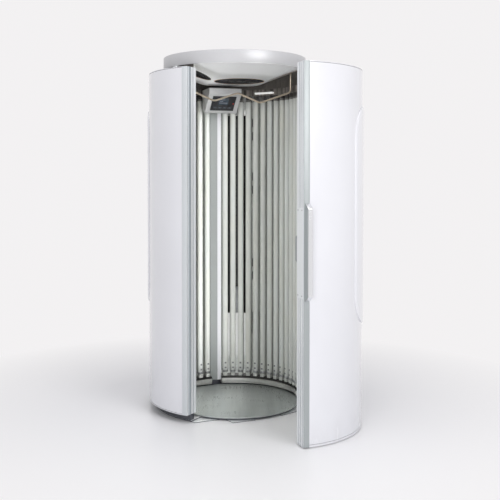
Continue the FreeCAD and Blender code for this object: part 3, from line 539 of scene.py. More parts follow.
class Finish(Enum):
    """The booth's finishes: one for each of the record's slots, and more where a slot's places differ, among
    them lighter and darker copies that are painted light or shade.
    """
    WHITE_GLOSS = GlossPaint("white_gloss", (0.80, 0.80, 0.835), axis=(0.0, 0.0))
    DOOR_GLOSS = GlossPaint("door_gloss", (0.80, 0.80, 0.835), axis=(0.38149, -0.24070))
    WHITE_PLASTIC = GlossPaint("white_plastic", (0.81, 0.81, 0.845), roughness=0.13, coat=0.8)
    ANODISED = SatinMetal("anodised", (0.84, 0.86, 0.88), roughness=0.34, metallic=0.12)
    COLUMN = SatinMetal("anodised_column", (0.36, 0.38, 0.375), roughness=0.40, metallic=0.3)
    # Darker copies of the anodised finish: painted shade on the profiles' outer sides and in their grooves;
    # the door's is darker still.
    FLANGE = SatinMetal("anodised_flange_shade", (0.66, 0.69, 0.71), roughness=0.36, metallic=0.25)
    GROOVE = SatinMetal("anodised_groove_shade", (0.42, 0.45, 0.48), roughness=0.45, metallic=0.2)
    INTAKE = SatinMetal("intake", (0.19, 0.175, 0.16), roughness=0.50, metallic=0.3, grain_scale=110.0,
                        stain=0.4)
    DOOR_FLANGE = SatinMetal("door_flange", (0.40, 0.43, 0.435), roughness=0.36, metallic=0.25)
    LIGHT_COVER = Glow("light_cover", (0.92, 0.92, 0.90), 0.55)
    # Dark copy of the steel caps for the lamps' upper ends: painted shade under the canopy.
    HEAD_CAP = SatinMetal("head_cap", (0.20, 0.19, 0.18), roughness=0.40, metallic=0.3)
    PULL = SatinMetal("pull", (0.34, 0.355, 0.365), roughness=0.40, metallic=0.3)
    # Painted shade: the upright edges of the base plates near the floor, and the plinth under the wings.
    EDGE_SHADE = SatinMetal("painted_shade_metal", (0.10, 0.105, 0.12), roughness=0.50, metallic=0.3)
    # A lighter copy of galvanised for the base plates: painted light on the bright plates.
    ZINC = SatinMetal("galvanised_painted_light", (0.84, 0.85, 0.86), roughness=0.30, metallic=0.35, grain=(0.02, 1, 1))
    REFLECTOR = SatinMetal("reflector", (0.84, 0.85, 0.83), roughness=0.09, metallic=0.75,
                           grain_scale=500.0, depth=0.00001, stain=0.05)
    FIXED_LAMP = LampGlass("lamp_glass", (0.735, 0.755, 0.735), (0.105, 2.005))
    DOOR_LAMP = LampGlass("door_lamp_glass", (0.735, 0.755, 0.735), (0.075, 1.975))
    LAMP_FITTINGS = Moulded("lamp_fittings", (0.62, 0.63, 0.60), roughness=0.40)
    # Dark copy of the lamp fittings for the upper holders: painted shade under the canopy.
    HEAD_FITTINGS = Moulded("head_fittings", (0.085, 0.080, 0.075), roughness=0.45)
    GALVANISED = Spangle("galvanised", (0.55, 0.57, 0.58))
    DECK = BrushedDeck("deck", (0.54, 0.575, 0.56), roughness=0.30)
    # The rail's dark band above its lip and its dark head are painted shade.
    RAIL = RolledRail("rail", (0.80, 0.79, 0.77), (0.075, 0.068, 0.062))
    SILVER = SatinMetal("silver", (0.60, 0.60, 0.615), roughness=0.38, metallic=0.25, grain=(1, 1, 1),
                        grain_scale=700.0, depth=0.00002)
    # A lighter copy of the silver finish for the tray's underside: painted light.
    TRAY = SatinMetal("silver_tray_painted_light", (0.88, 0.88, 0.89), roughness=0.32, metallic=0.15, grain=(1, 1, 1),
                      grain_scale=700.0, depth=0.00002, stain=0.04)
    COPPER = SatinMetal("copper", (0.62, 0.36, 0.20), roughness=0.30, grain=(1, 1, 1))
    BLACK_METAL = Moulded("black_metal", (0.016, 0.016, 0.017), roughness=0.42, grain=0.00004)
    BLACK_PLASTIC = Moulded("black_plastic", (0.022, 0.022, 0.025), roughness=0.40)
    GREY_PLASTIC = Moulded("grey_plastic", (0.45, 0.45, 0.455), roughness=0.42, wear=0.12)
    SCREEN = Window("screen", (0.050, 0.062, 0.082))
    KEY = Moulded("key", (0.055, 0.060, 0.070), roughness=0.50)
    CHAMPAGNE = SatinMetal("champagne", (0.70, 0.60, 0.48), roughness=0.30)
    STEEL = SatinMetal("steel", (0.58, 0.58, 0.60), roughness=0.28)
    SEAL = Moulded("soft_seal", (0.36, 0.39, 0.42), roughness=0.50)
    RUBBER = Moulded("rubber", (0.018, 0.018, 0.018), roughness=0.70, grain=0.0003, grain_scale=500.0)
    POLISHED = SatinMetal("polished", (0.84, 0.85, 0.87), roughness=0.12, stain=0.03)
    INK = Moulded("ink", (0.20, 0.20, 0.21), roughness=0.50, grain=0.00002)
    DISPLAY_MARK = Moulded("display_mark", (0.13, 0.15, 0.185), roughness=0.35, grain=0.00002)
    PILOT = Glow("pilot", (0.80, 0.05, 0.03), 1.2)


class Finishes:
    """Makes each finish's material once and hands it out."""

    def __init__(self) -> None:
        """Start with no material made."""
        self._made: dict[Finish, bpy.types.Material] = {}

    def get(self, finish: Finish) -> bpy.types.Material:
        """The material of a finish.

        Args:
            finish: the finish.

        Returns:
            Its material.
        """
        if finish not in self._made:
            self._made[finish] = finish.value.make()
        return self._made[finish]

    def dress(self, piece: Piece, finish: Finish) -> None:
        """Give a piece one finish all over.

        Args:
            piece: the piece.
            finish: its finish.
        """
        piece.data.materials.clear()
        piece.data.materials.append(self.get(finish))


# ---- measures that the pieces share -------------------------------------------------------------
@dataclass(frozen=True)
class Plan:
    """The booth's main measures, in metres and degrees."""
    shell: float = 0.550
    inner: float = 0.450
    lamp_circle: float = 0.428
    lamp_radius: float = 0.019
    lamp_length: float = 1.900
    lamp_bottom: float = 0.055
    lamp_pitch: float = 7.45
    flange: float = 0.034
    edge_gap: float = 0.0005
    column_face: float = 0.437
    column_half: float = 0.038
    hinge_radius: float = 0.560
    hinge_angle: float = 34.0
    opening: float = 47.5
    front: float = 270.0
    junction: float = 138.0
    end_gap: float = 0.45
    junction_gap: float = 0.05
    fixed_bottom: float = 0.050
    door_bottom: float = 0.020
    door_foot: float = 0.006
    panel_height: float = 2.072
    keel: float = 2.087
    fan_row: float = 42.5
    fan_offset: float = 0.031
    fan_spacing: float = 0.293
    fold: float = 0.168
    fold_tilt: float = 21.0

    def swing(self) -> Matrix:
        """From where a door piece is when shut to where the door stands."""
        axis = Matrix.Translation(polar(self.hinge_radius, self.hinge_angle))
        return axis @ turned(self.opening) @ axis.inverted()

    def door_end(self) -> Matrix:
        """The frame of the door's latch end: X away from the booth's axis, Y along the door."""
        return self.swing() @ turned(self.front + self.end_gap)

    @property
    def fold_slope(self) -> float:
        """Rise per metre of the canopy's raised facets."""
        return math.tan(math.radians(self.fold_tilt))

    def past_fold(self, x: float, y: float) -> float:
        """How far a point of the canopy lies past the nearer fold.

        Args:
            x: the point's X.
            y: the point's Y.

        Returns:
            The distance, less than 0 between the two folds.
        """
        row = math.radians(self.fan_row)
        return abs(x * math.cos(row) + y * math.sin(row) - self.fan_offset) - self.fold


def polar(radius: float, angle: float, height: float = 0.0) -> Vector:
    """A point about the booth's axis.

    Args:
        radius: distance from the axis.
        angle: angle from +X in degrees.
        height: height above the floor.

    Returns:
        The point.
    """
    return Vector((radius * math.cos(math.radians(angle)), radius * math.sin(math.radians(angle)), height))


def turned(angle: float, axis: str = "Z") -> Matrix:
    """A turn about an axis through the origin.

    Args:
        angle: the turn in degrees.
        axis: the axis's name.

    Returns:
        The turn.
    """
    return Matrix.Rotation(math.radians(angle), 4, axis)


def around(count: int) -> list[Matrix]:
    """Even turns about Z, all the way round.

    Args:
        count: how many.

    Returns:
        The turns.
    """
    return [turned(360 / count * i) for i in range(count)]


def half_angle(half_width: float, radius: float) -> float:
    """The angle that half a width takes up on a circle.

    Args:
        half_width: half the width.
        radius: the circle's radius.

    Returns:
        The angle in degrees.
    """
    return math.degrees(math.asin(half_width / radius))


FACING = 0.9


def facing_up(place: Vector, normal: Vector) -> bool:
    """Whether a face looks up."""
    return normal.z > FACING


def facing_down(place: Vector, normal: Vector) -> bool:
    """Whether a face looks down."""
    return normal.z < -FACING


PLAN = Plan()


class Section(Enum):
    """The three wall sections, each with its body, its underside and the angles where it ends."""
    BACK = ("cabinet", PLAN.fixed_bottom, PLAN.hinge_angle + PLAN.end_gap, PLAN.junction)
    LEFT = ("cabinet", PLAN.fixed_bottom, PLAN.junction, PLAN.front - PLAN.end_gap)
    DOOR = ("door", PLAN.door_bottom, PLAN.front + PLAN.end_gap, 360 + PLAN.hinge_angle - PLAN.end_gap)

    def __init__(self, body: str, bottom: float, start: float, end: float) -> None:
        """Name the section's measures.

        Args:
            body: the body it rides on.
            bottom: height of its underside.
            start: angle where it starts.
            end: angle where it ends.
        """
        self.body = body
        self.bottom = bottom
        self.start = start
        self.end = end

    @property
    def label(self) -> str:
        """The section's name in its nodes."""
        return self.name.lower()

    @property
    def placing(self) -> Matrix:
        """Where the section stands."""
        return PLAN.swing() if self is Section.DOOR else Matrix.Identity(4)

    def _span(self, by_column: float, by_profile: float) -> tuple[float, float]:
        """The section's span less what stands at its two ends.

        Args:
            by_column: degrees taken up at the junction.
            by_profile: degrees taken up at the other end.

        Returns:
            The first and the last free angle.
        """
        start = self.start + (by_column if self.start == PLAN.junction else by_profile)
        end = self.end - (by_column if self.end == PLAN.junction else by_profile)
        return start, end

    def lamp_angles(self) -> list[float]:
        """Angles of the section's lamps, spread evenly between its profile and the column.

        Returns:
            The angles in degrees.
        """
        start, end = self._span(half_angle(PLAN.column_half + PLAN.edge_gap, PLAN.column_face),
                                half_angle(PLAN.flange + PLAN.edge_gap, PLAN.inner))
        count = round((end - start) / PLAN.lamp_pitch)
        pitch = (end - start) / count
        return [start + pitch * (i + 0.5) for i in range(count)]

    def middle(self) -> float:
        """Angle of the middle of the section's panel."""
        start, end = self._span(PLAN.junction_gap, half_angle(PLAN.flange + PLAN.edge_gap, PLAN.shell))
        return (start + end) / 2


# ---- modelling moves ----------------------------------------------------------------------------
Test = Callable[[Vector, Vector], bool]
SMOOTH_BELOW = 35.0
FLAT_WITHIN = 0.4
SAME_CORNER = 0.000002
SAME_NODE_CORNER = 0.000005


@dataclass
class Bench:
    """The modelling moves that the pieces share, and the last step that hands a piece over."""
    finishes: Finishes
    count: int = 0

    def take(self, piece: Piece) -> None:
        """Make a piece the only one that operators act on.

        Args:
            piece: the piece.
        """
        bpy.ops.object.select_all(action="DESELECT")
        piece.select_set(True)
        bpy.context.view_layer.objects.active = piece

    def _enter(self, piece: Piece) -> None:
        """Enter edit mode with all of a piece selected.

        Args:
            piece: the piece.
        """
        self.take(piece)
        bpy.ops.object.mode_set(mode="EDIT")
        bpy.ops.mesh.select_all(action="SELECT")

    def leave(self) -> None:
        """Leave edit mode."""
        bpy.ops.object.mode_set(mode="OBJECT")

    def _start(self, name: str, add: Callable[..., Any], **options: Any) -> Piece:
        """Add a primitive, name it and put its place in its mesh.

        Args:
            name: the piece's name.
            add: the operator that adds the primitive.
            options: the operator's options.

        Returns:
            The piece.
        """
        bpy.ops.object.select_all(action="DESELECT")
        add(**options)
        piece = bpy.context.object
        piece.name = piece.data.name = name
        return self._fix(piece)

    def _fix(self, piece: Piece) -> Piece:
        """Put a piece's place, turn and scale in its mesh.

        Args:
            piece: the piece.

        Returns:
            The piece.
        """
        self.take(piece)
        bpy.ops.object.transform_apply(location=True, rotation=True, scale=True)
        return piece

    def block(self, name: str, low: Sequence[float], high: Sequence[float]) -> Piece:
        """Start from a box.

        Args:
            name: the piece's name.
            low: its corner with the least X, Y and Z.
            high: the opposite corner.

        Returns:
            The piece.
        """
        middle = [(a + b) / 2 for a, b in zip(low, high)]
        size = [b - a for a, b in zip(low, high)]
        return self._start(name, bpy.ops.mesh.primitive_cube_add, size=1, location=middle, scale=size)

    def drum(self, name: str, radius: float, low: float, high: float, sides: int = 48,
             at: Sequence[float] = (0, 0)) -> Piece:
        """Start from an upright cylinder.

        Args:
            name: the piece's name.
            radius: its radius.
            low: height of its lower end.
            high: height of its upper end.
            sides: faces around it.
            at: X and Y of its axis.

        Returns:
            The piece.
        """
        return self._start(name, bpy.ops.mesh.primitive_cylinder_add, vertices=sides, radius=radius,
                           depth=high - low, location=(at[0], at[1], (low + high) / 2))

    def hoop(self, name: str, radius: float, wire: float, height: float, steps: int = 72,
             sides: int = 6) -> Piece:
        """Start from a level ring of round wire.

        Args:
            name: the piece's name.
            radius: radius of the ring.
            wire: radius of the wire.
            height: height of the ring.
            steps: faces along the ring.
            sides: faces around the wire.

        Returns:
            The piece.
        """
        return self._start(name, bpy.ops.mesh.primitive_torus_add, major_segments=steps, minor_segments=sides,
                           major_radius=radius, minor_radius=wire, location=(0, 0, height))

    def disc(self, name: str, radius: float, sides: int) -> Piece:
        """Start from a flat round face that looks up.

        Args:
            name: the piece's name.
            radius: its radius.
            sides: its edges.

        Returns:
            The piece.
        """
        return self._start(name, bpy.ops.mesh.primitive_circle_add, vertices=sides, radius=radius,
                           fill_type="NGON")

    def pick(self, piece: Piece, test: Test, kind: str = "FACE") -> None:
        """Select faces, edges or corners in edit mode.

        Args:
            piece: the piece.
            test: says of a middle and a normal whether it is wanted. An edge's second value is its run.
            kind: FACE, EDGE or VERT.
        """
        self._enter(piece)
        bpy.context.tool_settings.mesh_select_mode = (kind == "VERT", kind == "EDGE", kind == "FACE")
        bpy.ops.mesh.select_all(action="DESELECT")
        mesh = bmesh.from_edit_mesh(piece.data)
        if kind == "FACE":
            for face in mesh.faces:
                face.select = test(face.calc_center_median(), face.normal)
        elif kind == "EDGE":
            for edge in mesh.edges:
                first, second = (v.co for v in edge.verts)
                edge.select = test((first + second) / 2, second - first)
        else:
            for vertex in mesh.verts:
                vertex.select = test(vertex.co, vertex.normal)
        mesh.select_flush_mode()
        bmesh.update_edit_mesh(piece.data)

    def slices(self, piece: Piece, axis: int, places: Iterable[float]) -> None:
        """Cut the faces along planes across an axis.

        Args:
            piece: the piece.
            axis: 0, 1 or 2 for X, Y or Z.
            places: where the planes are on that axis.
        """
        self._enter(piece)
        for place in places:
            point, normal = [0.0] * 3, [0.0] * 3
            point[axis], normal[axis] = place, 1.0
            bpy.ops.mesh.select_all(action="SELECT")
            bpy.ops.mesh.bisect(plane_co=point, plane_no=normal)
        self.leave()

    def push(self, piece: Piece, test: Test, shift: Sequence[float]) -> None:
        """Extrude the chosen faces.

        Args:
            piece: the piece.
            test: the faces.
            shift: how far along X, Y and Z.
        """
        self.pick(piece, test)
        bpy.ops.mesh.extrude_region_move(TRANSFORM_OT_translate={"value": shift})
        self.leave()

    def inset(self, piece: Piece, test: Test, steps: Sequence[tuple[float, float]]) -> None:
        """Inset the chosen faces again and again.

        Args:
            piece: the piece.
            test: the faces.
            steps: width and depth of each inset.
        """
        self.pick(piece, test)
        for width, depth in steps:
            bpy.ops.mesh.inset(thickness=width, depth=depth)
        self.leave()

    def drop(self, piece: Piece, test: Test) -> None:
        """Delete the chosen faces.

        Args:
            piece: the piece.
            test: the faces.
        """
        self.pick(piece, test)
        bpy.ops.mesh.delete(type="FACE")
        self.leave()

    def paint(self, piece: Piece, finish: Finish, test: Test,
              place: Matrix = Matrix.Identity(4)) -> None:
        """Give chosen faces of a piece that was handed over a further finish.

        Args:
            piece: the piece.
            finish: the further finish.
            test: the faces, in the frame of the piece's own place.
            place: that place.
        """
        piece.data.materials.append(self.finishes.get(finish))
        home = place.inverted()
        for face in piece.data.polygons:
            if test(home @ face.center, home.to_3x3() @ face.normal):
                face.material_index = len(piece.data.materials) - 1

    def finish_modifiers(self, piece: Piece) -> None:
        """Apply every modifier on a piece.

        Args:
            piece: the piece.
        """
        self.take(piece)
        for modifier in list(piece.modifiers):
            bpy.ops.object.modifier_apply(modifier=modifier.name)

    def soften(self, piece: Piece, width: float, segments: int = 2, angle: float = 35.0) -> None:
        """Round the sharp edges, and shade the piece smooth but for the edges that stay sharp.

        Args:
            piece: the piece.
            width: width of the rounding, 0 for none.
            segments: faces across the rounding.
            angle: edges sharper than this are rounded.
        """
        if width > 0:
            bevel = piece.modifiers.new("round", "BEVEL")
            bevel.width = width
            bevel.segments = segments
            bevel.limit_method = "ANGLE"
            bevel.angle_limit = math.radians(angle)
            bevel.use_clamp_overlap = True
            self.finish_modifiers(piece)
        self.take(piece)
        bpy.ops.object.shade_smooth_by_angle(angle=math.radians(SMOOTH_BELOW))
        self.finish_modifiers(piece)

    def thicken(self, piece: Piece, wall: float, offset: float = -1.0) -> None:
        """Give a sheet its wall.

        Args:
            piece: the sheet.
            wall: its thickness.
            offset: -1 puts the wall behind the sheet's faces, 0 on both their sides.
        """
        solid = piece.modifiers.new("wall", "SOLIDIFY")
        solid.thickness = wall
        solid.offset = offset
        self.finish_modifiers(piece)

    def carve(self, piece: Piece, tool: Piece) -> None:
        """Cut a piece with a tool that is then thrown away.

        Args:
            piece: the piece.
            tool: a closed form.
        """
        cut = piece.modifiers.new("cut", "BOOLEAN")
        cut.operation = "DIFFERENCE"
        cut.solver = "EXACT"
        cut.object = tool
        self.finish_modifiers(piece)
        bpy.data.objects.remove(tool, do_unlink=True)

    def settle(self, piece: Piece, place: Matrix) -> Piece:
        """Move a piece, and put its place in its mesh.

        Args:
            piece: the piece.
            place: the move.

        Returns:
            The piece.
        """
        piece.matrix_world = place @ piece.matrix_world
        return self._fix(piece)

    def mirrored(self, piece: Piece, axis: int) -> Piece:
        """Turn a piece into its mirror image and face it outwards again.

        Args:
            piece: the piece.
            axis: the axis that is reversed, 0, 1 or 2 for X, Y or Z.

        Returns:
            The piece.
        """
        piece.scale[axis] = -1.0
        self.take(piece)
        bpy.ops.object.transform_apply(location=False, rotation=False, scale=True)
        self.outward(piece)
        return piece

    def outward(self, piece: Piece) -> None:
        """Merge a closed piece's doubles and face it outwards.

        Args:
            piece: the piece.
        """
        self._enter(piece)
        bpy.ops.mesh.remove_doubles(threshold=SAME_CORNER)
        bpy.ops.mesh.normals_make_consistent(inside=False)
        self.leave()

    def join(self, name: str, pieces: Sequence[Piece]) -> Piece:
        """Make one piece of several.

        Args:
            name: the new piece's name.
            pieces: the pieces that go into it.

        Returns:
            The new piece.
        """
        self.take(pieces[0])
        for piece in pieces:
            piece.select_set(True)
        if len(pieces) > 1:
            bpy.ops.object.join()
        joined = bpy.context.object
        joined.name = joined.data.name = name
        return joined

    def repeat(self, name: str, pattern: Piece, places: Iterable[Matrix]) -> Piece:
        """Copy a pattern to several places and join the copies.

        Args:
            name: the new piece's name.
            pattern: what is copied; it is used up.
            places: where the copies go.

        Returns:
            The new piece.
        """
        copies = []
        for place in places:
            copy = pattern.copy()
            copy.data = pattern.data.copy()
            copy.data.transform(place)
            bpy.context.scene.collection.objects.link(copy)
            copies.append(copy)
        bpy.data.objects.remove(pattern, do_unlink=True)
        return self.join(name, copies)

    def copy_of_node(self, node: str, name: str) -> Piece:
        """A merged copy of a node's mesh, with its flat faces whole again.

        Args:
            node: the node.
            name: the copy's name.

        Returns:
            The copy.
        """
        copy = frame["nodes"][node].copy()
        copy.data = copy.data.copy()
        copy.parent = None
        for key in [k for k in copy.keys() if k.startswith("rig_")]:
            del copy[key]
        bpy.context.scene.collection.objects.link(copy)
        copy.name = copy.data.name = name
        self.take(copy)
        bpy.ops.mesh.customdata_custom_splitnormals_clear()
        self._enter(copy)
        bpy.ops.mesh.remove_doubles(threshold=SAME_NODE_CORNER)
        bpy.ops.mesh.dissolve_limited(angle_limit=math.radians(FLAT_WITHIN))
        self.leave()
        return copy

    def hand_over(self, piece: Piece, body: str, finish: Finish, nodes: Sequence[str] = (),
                  slot: Optional[str] = None) -> Piece:
        """Finish a piece: its material, its body and the nodes that it stands for.

        Args:
            piece: the piece.
            body: the body it rides on.
            finish: its finish.
            nodes: the nodes that it stands for.
            slot: the record's slot, when it isn't the finish's own name; not used.

        Returns:
            The piece.
        """
        self.finishes.dress(piece, finish)
        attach(piece, body)
        if nodes:
            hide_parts(*nodes)
        self.count += 1
        log.info("piece %s: body %s, %s, %d faces", piece.name, body, finish.name, len(piece.data.polygons))
        return piece


# ---- frame --------------------------------------------------------------------------------------
def slot_of(node: str) -> str:
    """The record's slot for a node.

    Args:
        node: the node's name.

    Returns:
        The slot's name.
    """
    return next(row["material_slot"] for row in frame["record"]["subparts"] if row["node"] == node)


def body_of(node: str) -> str:
    """The body that a node belongs to.

    Args:
        node: the node's name.

    Returns:
        The body's name.
    """
    bodies = frame["record"]["behaviour"]["bodies"]
    return next(body for body, nodes in bodies.items() if node in nodes)


SPECIAL = {"door_lamps": Finish.DOOR_LAMP, "back_lamps": Finish.FIXED_LAMP, "left_lamps": Finish.FIXED_LAMP,
           "door_shell": Finish.DOOR_GLOSS, "junction_column": Finish.COLUMN, "door_seal": Finish.SEAL,
           "canopy_intake": Finish.INTAKE}


@dataclass
class CadNodes:
    """The solids' own meshes, each given its finish. Those with no piece in their place stay in sight."""
    finishes: Finishes

    def finish_of(self, node: str) -> Finish:
        """The finish for a node: its own, or that of its slot in the record.

        Args:
            node: the node's name.

        Returns:
            Its finish.
        """
        return SPECIAL.get(node) or Finish[slot_of(node).upper()]

    def build(self) -> None:
        """Dress every node."""
        for name, piece in frame["nodes"].items():
            self.finishes.dress(piece, self.finish_of(name))
            log.info("node %s: %s", name, self.finish_of(name).name)


# ---- sub-assemblies -----------------------------------------------------------------------------
@dataclass
class LampBank:
    """The lamps of one section: glass tubes, metal caps with pins, printed dashes, and holders."""
    bench: Bench
    section: Section
    cap_length: float = 0.014
    cap_inset: float = 0.0004
    neck: float = 0.003
    overlap: float = 0.002
    pin_length: float = 0.004
    pin_radius: float = 0.0018
    pin_spread: float = 0.0064
    mark_heights: tuple[float, float] = (0.028, 0.062)
    mark_height: float = 0.011
    mark_lift: float = 0.0001
    sides: int = 26
    holder_size: tuple[float, float, float] = (0.030, 0.026, 0.024)
    entry: float = 0.0035

    def build(self) -> None:
        """Build and hand over the section's lamps and holders."""
        places = [self.section.placing @ turned(a) for a in self.section.lamp_angles()]
        low = self.section.bottom + PLAN.lamp_bottom
        high = low + PLAN.lamp_length
        label = self.section.label
        glass = Finish.DOOR_LAMP if self.section is Section.DOOR else Finish.FIXED_LAMP
        tubes = self.bench.repeat(f"{label}_tubes", self._tube(low, high), places)
        self.bench.hand_over(tubes, self.section.body, glass, [f"{label}_lamps"], "lamp_glass")
        marks = self.bench.repeat(f"{label}_lamp_marks", self._marks(low), places)
        self.bench.hand_over(marks, self.section.body, Finish.INK, (), "black_plastic")
        # The upper holders and caps take dark copies of the fittings and steel finishes: painted shade under
        # the canopy.
        for name, level, finish, metal in (("foot", low, Finish.LAMP_FITTINGS, Finish.STEEL),
                                           ("head", high, Finish.HEAD_FITTINGS, Finish.HEAD_CAP)):
            head = level == high
            holders = self.bench.repeat(f"{label}_{name}_holders", self._holder(level, head), places)
            self.bench.hand_over(holders, self.section.body, finish, [f"{label}_lamp_holders"],
                                 "lamp_fittings")
            caps = self.bench.repeat(f"{label}_{name}_caps", self._cap(level, head), places)
            self.bench.hand_over(caps, self.section.body, metal, (), "steel")

    def _tube(self, low: float, high: float) -> Piece:
        """One glass tube with rounded shoulders.

        Args:
            low: height of the lamp's lower end.
            high: height of its upper end.

        Returns:
            The tube, in the frame of one lamp.
        """
        tube = self.bench.drum("tube", PLAN.lamp_radius, low + self.cap_length, high - self.cap_length,
                               self.sides, (PLAN.lamp_circle, 0))
        self.bench.soften(tube, 0.004, 3, 60)
        return tube

    def _cap(self, level: float, head: bool) -> Piece:
        """One metal end cap, drawn in to a disc with two pins.

        Args:
            level: height of the lamp's end.
            head: whether it is the lamp's upper end.

        Returns:
            The cap, in the frame of one lamp.
        """
        cap = self.bench.drum("cap", PLAN.lamp_radius - self.cap_inset, self.neck,
                              self.cap_length + self.overlap, self.sides, (PLAN.lamp_circle, 0))
        self.bench.inset(cap, facing_down, [(0.003, 0.0), (0.001, -0.001)])
        self.bench.soften(cap, 0.001, 2, 60)
        pins = [self.bench.drum("pin", self.pin_radius, -self.pin_length, self.neck + self.overlap, 8,
                                (PLAN.lamp_circle, side * self.pin_spread)) for side in (-1, 1)]
        cap = self.bench.join("cap", [cap, *pins])
        if head:
            self.bench.mirrored(cap, 2)
        return self.bench.settle(cap, Matrix.Translation((0, 0, level)))

    def _marks(self, low: float) -> Piece:
        """Two plain printed dashes near a lamp's foot, on the side that faces the cabin.

        Args:
            low: height of the lamp's lower end.

        Returns:
            The dashes, in the frame of one lamp.
        """
        dashes = []
        for height in self.mark_heights:
            foot = low + height
            dash = self.bench.drum("dash", PLAN.lamp_radius + self.mark_lift, foot, foot + self.mark_height,
                                   36, (PLAN.lamp_circle, 0))
            self.bench.drop(dash, lambda c, n: n.x > -0.93 or abs(n.z) > 0.5)
            dashes.append(dash)
        return self.bench.join("dashes", dashes)

    def _holder(self, level: float, head: bool) -> Piece:
        """One lamp holder with its entry slot.

        Args:
            level: height of the lamp's end.
            head: whether it holds the lamp's upper end.

        Returns:
            The holder, in the frame of one lamp.
        """
        depth, width, height = self.holder_size
        near = PLAN.lamp_circle - depth / 2
        low, high = (level, level + height) if head else (level - height, level)
        holder = self.bench.block("holder", (near, -width / 2, low), (near + depth, width / 2, high))
        self.bench.slices(holder, 1, (-self.entry, self.entry))
        self.bench.push(holder, lambda c, n: n.x < -FACING and abs(c.y) < self.entry, (0.003, 0, 0))
        self.bench.soften(holder, 0.0016, 2)
        return holder


@dataclass
class WallPanel:
    """The raised stadium panel of one section, pillowed at its edge."""
    bench: Bench
    section: Section
    half_width: float = 0.186
    low: float = 0.595
    height: float = 1.265
    seat: float = 0.0001
    rise: float = 0.010
    upright: float = 0.45
    pillow: tuple[tuple[float, float], ...] = ((0.0025, 0.20), (0.003, 0.15), (0.005, 0.11), (0.008, 0.06),
                                               (0.012, 0.03))
    step: float = 0.012

    def build(self) -> None:
        """Build and hand over the panel: an upright edge, then a rounding of ever flatter steps."""
        face = self.bench.disc(f"{self.section.label}_raised", self.half_width, 96)
        straight = self.height / 2 - self.half_width
        middle = self.section.bottom + self.low + self.height / 2
        for side in (-1, 1):
            self.bench.pick(face, lambda c, n, s=side: s * c.y > 0.0001, "VERT")
            bpy.ops.transform.translate(value=(0, side * straight, 0))
            self.bench.leave()
        self.bench.push(face, lambda c, n: True, (0, 0, self.rise * self.upright))
        top = lambda c, n: c.z > self.rise * self.upright / 2 and abs(n.z) > FACING
        self.bench.inset(face, top, [(width, self.rise * share) for width, share in self.pillow])
        count = round(2 * self.half_width / self.step)
        self.bench.slices(face, 0, [self.half_width * (2 * i / count - 1) for i in range(1, count)])
        self.bench.settle(face, turned(90, "X"))
        self.bench.settle(face, turned(90))
        self._wrap(face, middle)
        self.bench.soften(face, 0)
        self.bench.settle(face, self.section.placing @ turned(self.section.middle()))
        self.bench.hand_over(face, self.section.body, Finish.WHITE_PLASTIC,
                             [f"{self.section.label}_raised_panel"])

    def _wrap(self, face: Piece, middle: float) -> None:
        """Lay the flat panel round the shell.

        Args:
            face: the flat panel, looking along X.
            middle: height of its middle.
        """
        for vertex in face.data.vertices:
            reach = PLAN.shell + self.seat + abs(vertex.co.x)
            vertex.co = (math.sqrt(reach ** 2 - vertex.co.y ** 2), vertex.co.y, vertex.co.z + middle)
        self.bench.outward(face)


@dataclass
class EndProfile:
    """A drawn aluminium channel at a section's end, with three grooves in its end face."""
    bench: Bench
    node: str
    body: str
    angle: float
    side: int
    bottom: float
    top: float
    placing: Matrix
    groove: float = 0.006
    groove_depth: float = 0.0045
    groove_places: tuple[float, float, float] = (0.30, 0.55, 0.85)
    face: float = 0.006
    wall: float = 0.003
    pocket_from: float = 0.02
    outer_skin: float = 0.0006
    groove_skin: float = 0.0001
    corner: float = 0.002

    def build(self) -> None:
        """Build and hand over the profile; its outer side and its grooves take darker copies of its finish as
        painted shade.
        """
        bar = self.bench.block(self.node + "_bar", (PLAN.inner, 0, self.bottom),
                               (PLAN.shell, PLAN.flange, self.top))
        depth = PLAN.shell - PLAN.inner
        middles = [PLAN.inner + share * depth for share in self.groove_places]
        half = self.groove / 2
        cuts = [x + s * half for x in middles for s in (-1, 1)]
        pocket = (PLAN.inner + self.wall, PLAN.shell - self.wall)
        self.bench.slices(bar, 0, [*cuts, *pocket])
        groove_mouth = lambda c, n: n.y < -FACING and any(abs(c.x - x) < half for x in middles)
        self.bench.push(bar, groove_mouth, (0, self.groove_depth, 0))
        pocket_mouth = lambda c, n: n.y > FACING and c.y > self.pocket_from and pocket[0] < c.x < pocket[1]
        self.bench.push(bar, pocket_mouth, (0, self.face - PLAN.flange, 0))
        self.bench.soften(bar, 0.0009, 2)
        if self.side < 0:
            self.bench.mirrored(bar, 1)
        place = self.placing @ turned(self.angle)
        self.bench.settle(bar, place)
        self.bench.hand_over(bar, self.body, Finish.ANODISED, [self.node])
        # The outer side gets a darker copy of the finish: painted shade.
        flange = Finish.DOOR_FLANGE if self.body == "door" else Finish.FLANGE
        self.bench.paint(bar, flange, lambda c, n: c.x > PLAN.shell - self.outer_skin, place)
        # The grooves get a darker copy of the finish: painted shade in the recesses.
        self.bench.paint(bar, Finish.GROOVE, self._in_groove, place)

    def _in_groove(self, place: Vector, normal: Vector) -> bool:
        """Whether a face is in a groove.

        Args:
            place: the face's middle in the profile's own frame.
            normal: its normal there.

        Returns:
            Whether it is.
        """
        between = PLAN.inner + self.corner < place.x < PLAN.shell - self.corner
        sunk = self.corner / 2 < abs(place.y) < self.groove_depth + self.groove_skin
        return abs(normal.z) < 0.5 and between and sunk


